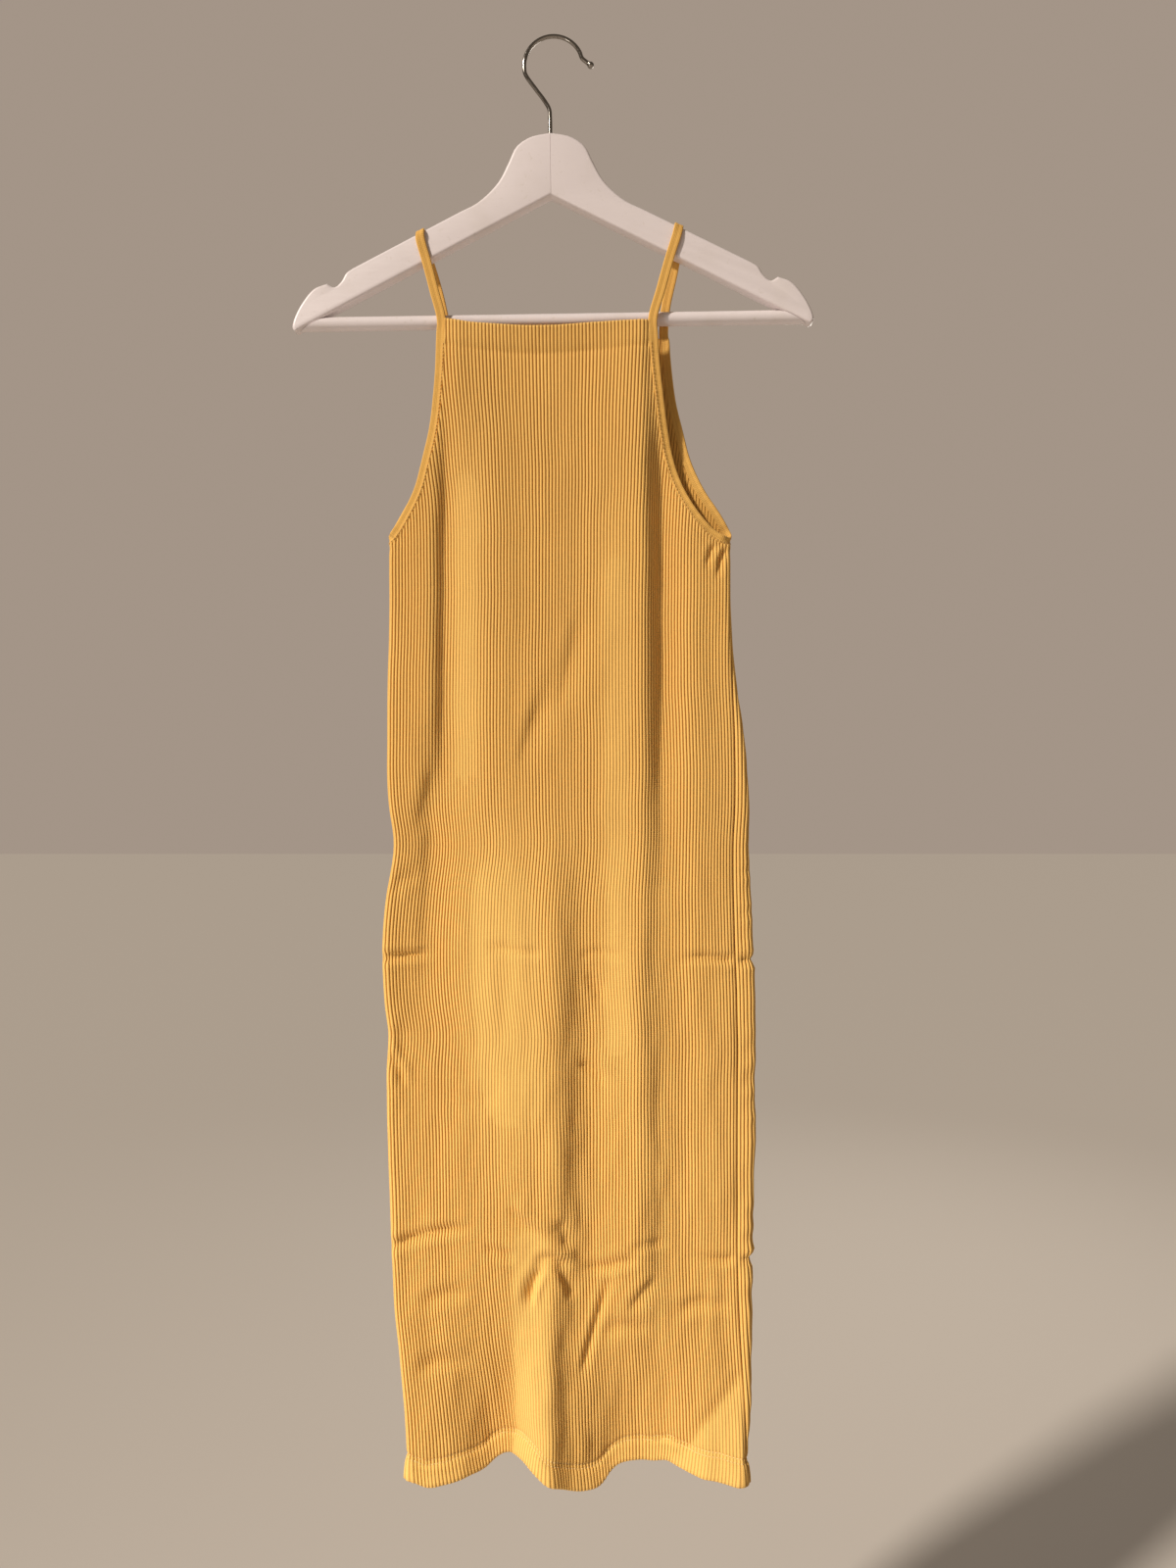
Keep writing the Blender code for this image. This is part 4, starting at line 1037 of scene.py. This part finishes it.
def buildPaintGroup():
    # brushed-on paint: faint brush lines, small dents, and grime where hands and clothes rub
    inputs = {"Paint": (0.8, 0.78, 0.76), "Grime": (0.55, 0.48, 0.42), "Wear": 0.3}
    group, given, result = newGroup("brushed paint", inputs, ("Color", "Roughness", "Height"))
    maths = partial(mathNode, group)
    place = objectPlace(group)
    stretch = addNode(group, "Mapping", {"Vector": place, "Scale": (1.0, 6.0, 9.0)}).outputs[0]
    brush = noiseNode(group, stretch, 55.0, 4.0)
    patches = ramp(group, noiseNode(group, place, 26.0, 4.0), 0.45, 0.75)
    specks = ramp(group, noiseNode(group, place, 240.0, 1.0), 0.68, 0.76)
    dirt = maths("MULTIPLY", maths("ADD", patches, specks), given["Wear"])
    connect(group, result, {
        "Color": mixColours(group, dirt, given["Paint"], given["Grime"]),
        "Roughness": ramp(group, brush, 0.25, 0.75, 0.32, 0.5),
        "Height": maths("SUBTRACT", brush, maths("MULTIPLY", specks, 0.3)),
    })
    return group


def bumpNode(tree, height, strength, distance):
    given = {"Strength": strength, "Distance": distance * mm, "Height": height}
    return addNode(tree, "Bump", given).outputs[0]


yarn = {
    "light": (0.915, 0.56, 0.158),
    # a darker tone: a little of it gives the yarn's uneven tone, most of it is painted shade between ribs
    "deep": (0.40, 0.165, 0.028),
    "bindingLight": (0.80, 0.46, 0.115),
    # painted light: the inside is a more saturated orange than the outside, standing in for light that comes
    # through the knit
    "insideLitThrough": (0.88, 0.48, 0.11),
    "thread": (0.93, 0.66, 0.27),
    "sheen": 0.1,
    "unevenness": 0.12,
    "stitchLength": 1.5,
}
hangerColours = {
    "body": (0.80, 0.725, 0.735),
    "bar": (0.81, 0.735, 0.745),
    "grime": (0.62, 0.55, 0.49),
    # painted reflection: the metal's colour is darkened as if it mirrored a dark room
    "metal": (0.36, 0.33, 0.30),
    "darkMetal": (0.20, 0.175, 0.155),
}


def knitMaterial(name, light, deepening, ribBump):
    given = {"Sheen Weight": yarn["sheen"], "Sheen Roughness": 0.45, "Specular IOR Level": 0.25}
    material, tree, surface = newMaterial(name, light, 0.86, given)
    maths = partial(mathNode, tree)
    given = {"Stitch Length": yarn["stitchLength"], "Legs": 2.0}
    stitches = addNode(tree, "Group", given, node_tree=stitchGroup).outputs
    between = stitches["Between Ribs"]
    # painted shade: the line between ribs darkens the colour as well as dipping the bump
    given = {
        "Light": light, "Dark Tone And Rib Shade": yarn["deep"], "Between Ribs": between, "Rib Shading": deepening,
        "Unevenness": yarn["unevenness"],
    }
    colour = addNode(tree, "Group", given, node_tree=yarnGroup).outputs["Color"]
    height = maths("ADD", maths("MULTIPLY", stitches["Height"], 0.35), maths("MULTIPLY", between, -ribBump))
    height = maths("ADD", height, maths("MULTIPLY", stitches["Fuzz"], 0.12))
    connect(tree, surface, {"Base Color": colour, "Normal": bumpNode(tree, height, 0.8, 0.5)})
    return material


def threadMaterial(name, light):
    material, tree, surface = newMaterial(name, light, 0.55, {"Sheen Weight": 0.2})
    twist = noiseNode(tree, objectPlace(tree), 1500.0, 1.0)
    colour = mixColours(tree, twist, light, tuple(0.75 * c for c in light))
    connect(tree, surface, {"Base Color": colour, "Normal": bumpNode(tree, twist, 0.4, 0.1)})
    return material


def paintMaterial(name, paint, wear):
    material, tree, surface = newMaterial(name, paint, 0.4, {"Coat Weight": 0.12, "Coat Roughness": 0.3})
    given = {"Paint": paint, "Grime": hangerColours["grime"], "Wear": wear}
    coat = addNode(tree, "Group", given, node_tree=paintGroup).outputs
    connect(tree, surface, {
        "Base Color": coat["Color"], "Roughness": coat["Roughness"],
        "Normal": bumpNode(tree, coat["Height"], 0.25, 0.15),
    })
    return material


def chromeMaterial(name, metal, dark):
    material, tree, surface = newMaterial(name, metal, 0.16, {"Metallic": 1.0})
    # the base colour carries a painted reflection of a dark room; the noise adds darker, rougher marks
    marks = noiseNode(tree, objectPlace(tree), 380.0)
    connect(tree, surface, {
        "Base Color": mixColours(tree, ramp(tree, marks, 0.55, 0.8), metal, dark),
        "Roughness": ramp(tree, marks, 0.35, 0.75, 0.12, 0.3),
        "Normal": bumpNode(tree, marks, 0.08, 0.1),
    })
    return material


# Making

def declare(piece, node=None):
    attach(piece, "root")
    if node:
        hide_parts(node)


print("materials")
stitchGroup, yarnGroup, paintGroup = buildStitchGroup(), buildYarnGroup(), buildPaintGroup()
# the third number sets how far painted shade darkens the colour between ribs
knitOutside = knitMaterial("yellow rib knit", yarn["light"], 0.46, 0.5)
# painted light: this colour stands in for light coming through the knit
knitInside = knitMaterial("yellow rib knit inside", yarn["insideLitThrough"], 0.5, 1.2)
bindingKnit = knitMaterial("yellow binding", yarn["bindingLight"], 0.12, 0.1)
hemThread = threadMaterial("hem thread", yarn["thread"])
bindingThread = threadMaterial("binding thread", yarn["bindingLight"])
whitePaint = paintMaterial("white painted wood", hangerColours["body"], 0.22)
barPaint = paintMaterial("white painted bar", hangerColours["bar"], 0.3)
brightMetal = chromeMaterial("bright metal", hangerColours["metal"], hangerColours["darkMetal"])

print("front and back panels")
panelSizes = {"front": (0.320, 0.952, 0.284), "back": (0.325, 0.940, 0.290)}  # cut width, length and area
hemLines = []
for face, (width, length, area) in panelSizes.items():
    materials = [knitOutside, knitInside]
    piece, surface, normals, aboveHem = buildPanel(f"{face}Panel", KnitPanel(face), materials)
    declare(piece, f"{face}_panel")
    for line in (edges["hemDepth"] - edges["stitchGap"] / 2, edges["hemDepth"] + edges["stitchGap"] / 2):
        row = int(np.abs(aboveHem[:, 0] - line).argmin())
        hemLines.append((surface[row, ::2], normals[row, ::2]))

print("stitches")
declare(buildStitches("hemStitches", hemLines, hemThread))

print("straps and bindings")
bindingLines = []
for side in outwards:
    piece, middle, across, facing, thick, offset = buildStrap(f"{side}Strap", side, bindingKnit)
    declare(piece, f"{side}_strap")
    low = middle[:, 2] < -250.0
    start = int(np.argmax(~low & np.roll(low, 1)))  # where the strap leaves the front's armhole
    order = np.roll(np.arange(len(middle)), -start)
    order = order[low[order]]
    line = middle + across * offset + facing * (thick * 0.95)[:, None]
    bindingLines.append((line[order], facing[order]))
declare(buildStitches("bindingStitches", bindingLines, bindingThread))

print("hanger")
declare(buildHangerBody(whitePaint), "hanger_body")
declare(buildHangerBar(barPaint), "hanger_bar")
declare(buildHook(brightMetal), "hanger_hook")

# Camera, floor and light

view = {"place": (0.0286, -0.967, -0.612), "lens": 27.05, "sensor": 36.0}
studio = {
    "floorHeight": -1.5,
    "floorColour": (0.56, 0.51, 0.46),
    "background": (0.37, 0.30, 0.245),
    "fillColour": (1.0, 0.82, 0.64),
    "fill": 0.14,
}


def buildCamera():
    data = bpy.data.cameras.new("camera")
    data.lens = view["lens"]
    data.sensor_width = view["sensor"]
    camera = addObject("camera", data)
    camera.location = view["place"]
    camera.rotation_euler = (math.radians(90), 0, 0)
    bpy.context.scene.camera = camera



def buildFloor():
    reach, z = 14.0, studio["floorHeight"]
    corners = [(x * reach, y * reach, z) for x, y in ((-1, -1), (1, -1), (1, 1), (-1, 1))]
    mesh = bpy.data.meshes.new("floor")
    mesh.from_pydata(corners, [], [(0, 1, 2, 3)])
    mesh.materials.append(newMaterial("pale floor", studio["floorColour"], 0.9)[0])
    addObject("floor", mesh)


def addLight(name, kind, place, target, size, power, colour, spread=180):
    data = bpy.data.lights.new(name, kind)
    if kind == "SUN":
        data.angle = math.radians(size)
    else:
        data.shape = "DISK"
        data.size = size
        data.spread = math.radians(spread)
    data.energy = power
    data.color = colour
    light = addObject(name, data)
    light.location = place
    light.rotation_euler = (Vector(target) - Vector(place)).to_track_quat("-Z", "Y").to_euler()



def buildWorld():
    # the plain background that the camera sees, and a dimmer, warmer one that lights the dress
    world = bpy.data.worlds.new("studio")
    bpy.context.scene.world = world
    world.use_nodes = True
    tree = world.node_tree
    seen = tree.nodes["Background"]
    connect(tree, seen.inputs, {"Color": studio["background"]})
    lit = addNode(tree, "Background", {"Color": studio["fillColour"], "Strength": studio["fill"]})
    rays = tree.nodes.new("ShaderNodeLightPath").outputs["Is Camera Ray"]
    choose = addNode(tree, "MixShader", {0: rays, 1: lit.outputs[0], 2: seen.outputs[0]})
    connect(tree, tree.nodes["World Output"].inputs, {"Surface": choose.outputs[0]})


print("studio")
buildCamera()
buildFloor()
buildWorld()
addLight("key", "SUN", (-2.65, -2.0, 1.55), (0.0, 0.0, -0.72), 5.0, 3.3, (1.0, 0.92, 0.82))
addLight("low fill", "AREA", (-1.1, -1.1, -1.0), (0.0, 0.0, -1.12), 0.4, 2.4, (1.0, 0.95, 0.88), spread=90)
addLight("back light", "AREA", (1.3, 2.4, 0.1), (0.0, 0.0, -0.7), 1.4, 7.0, (1.0, 0.95, 0.88), spread=100)
bpy.context.scene.view_settings.view_transform = "Standard"
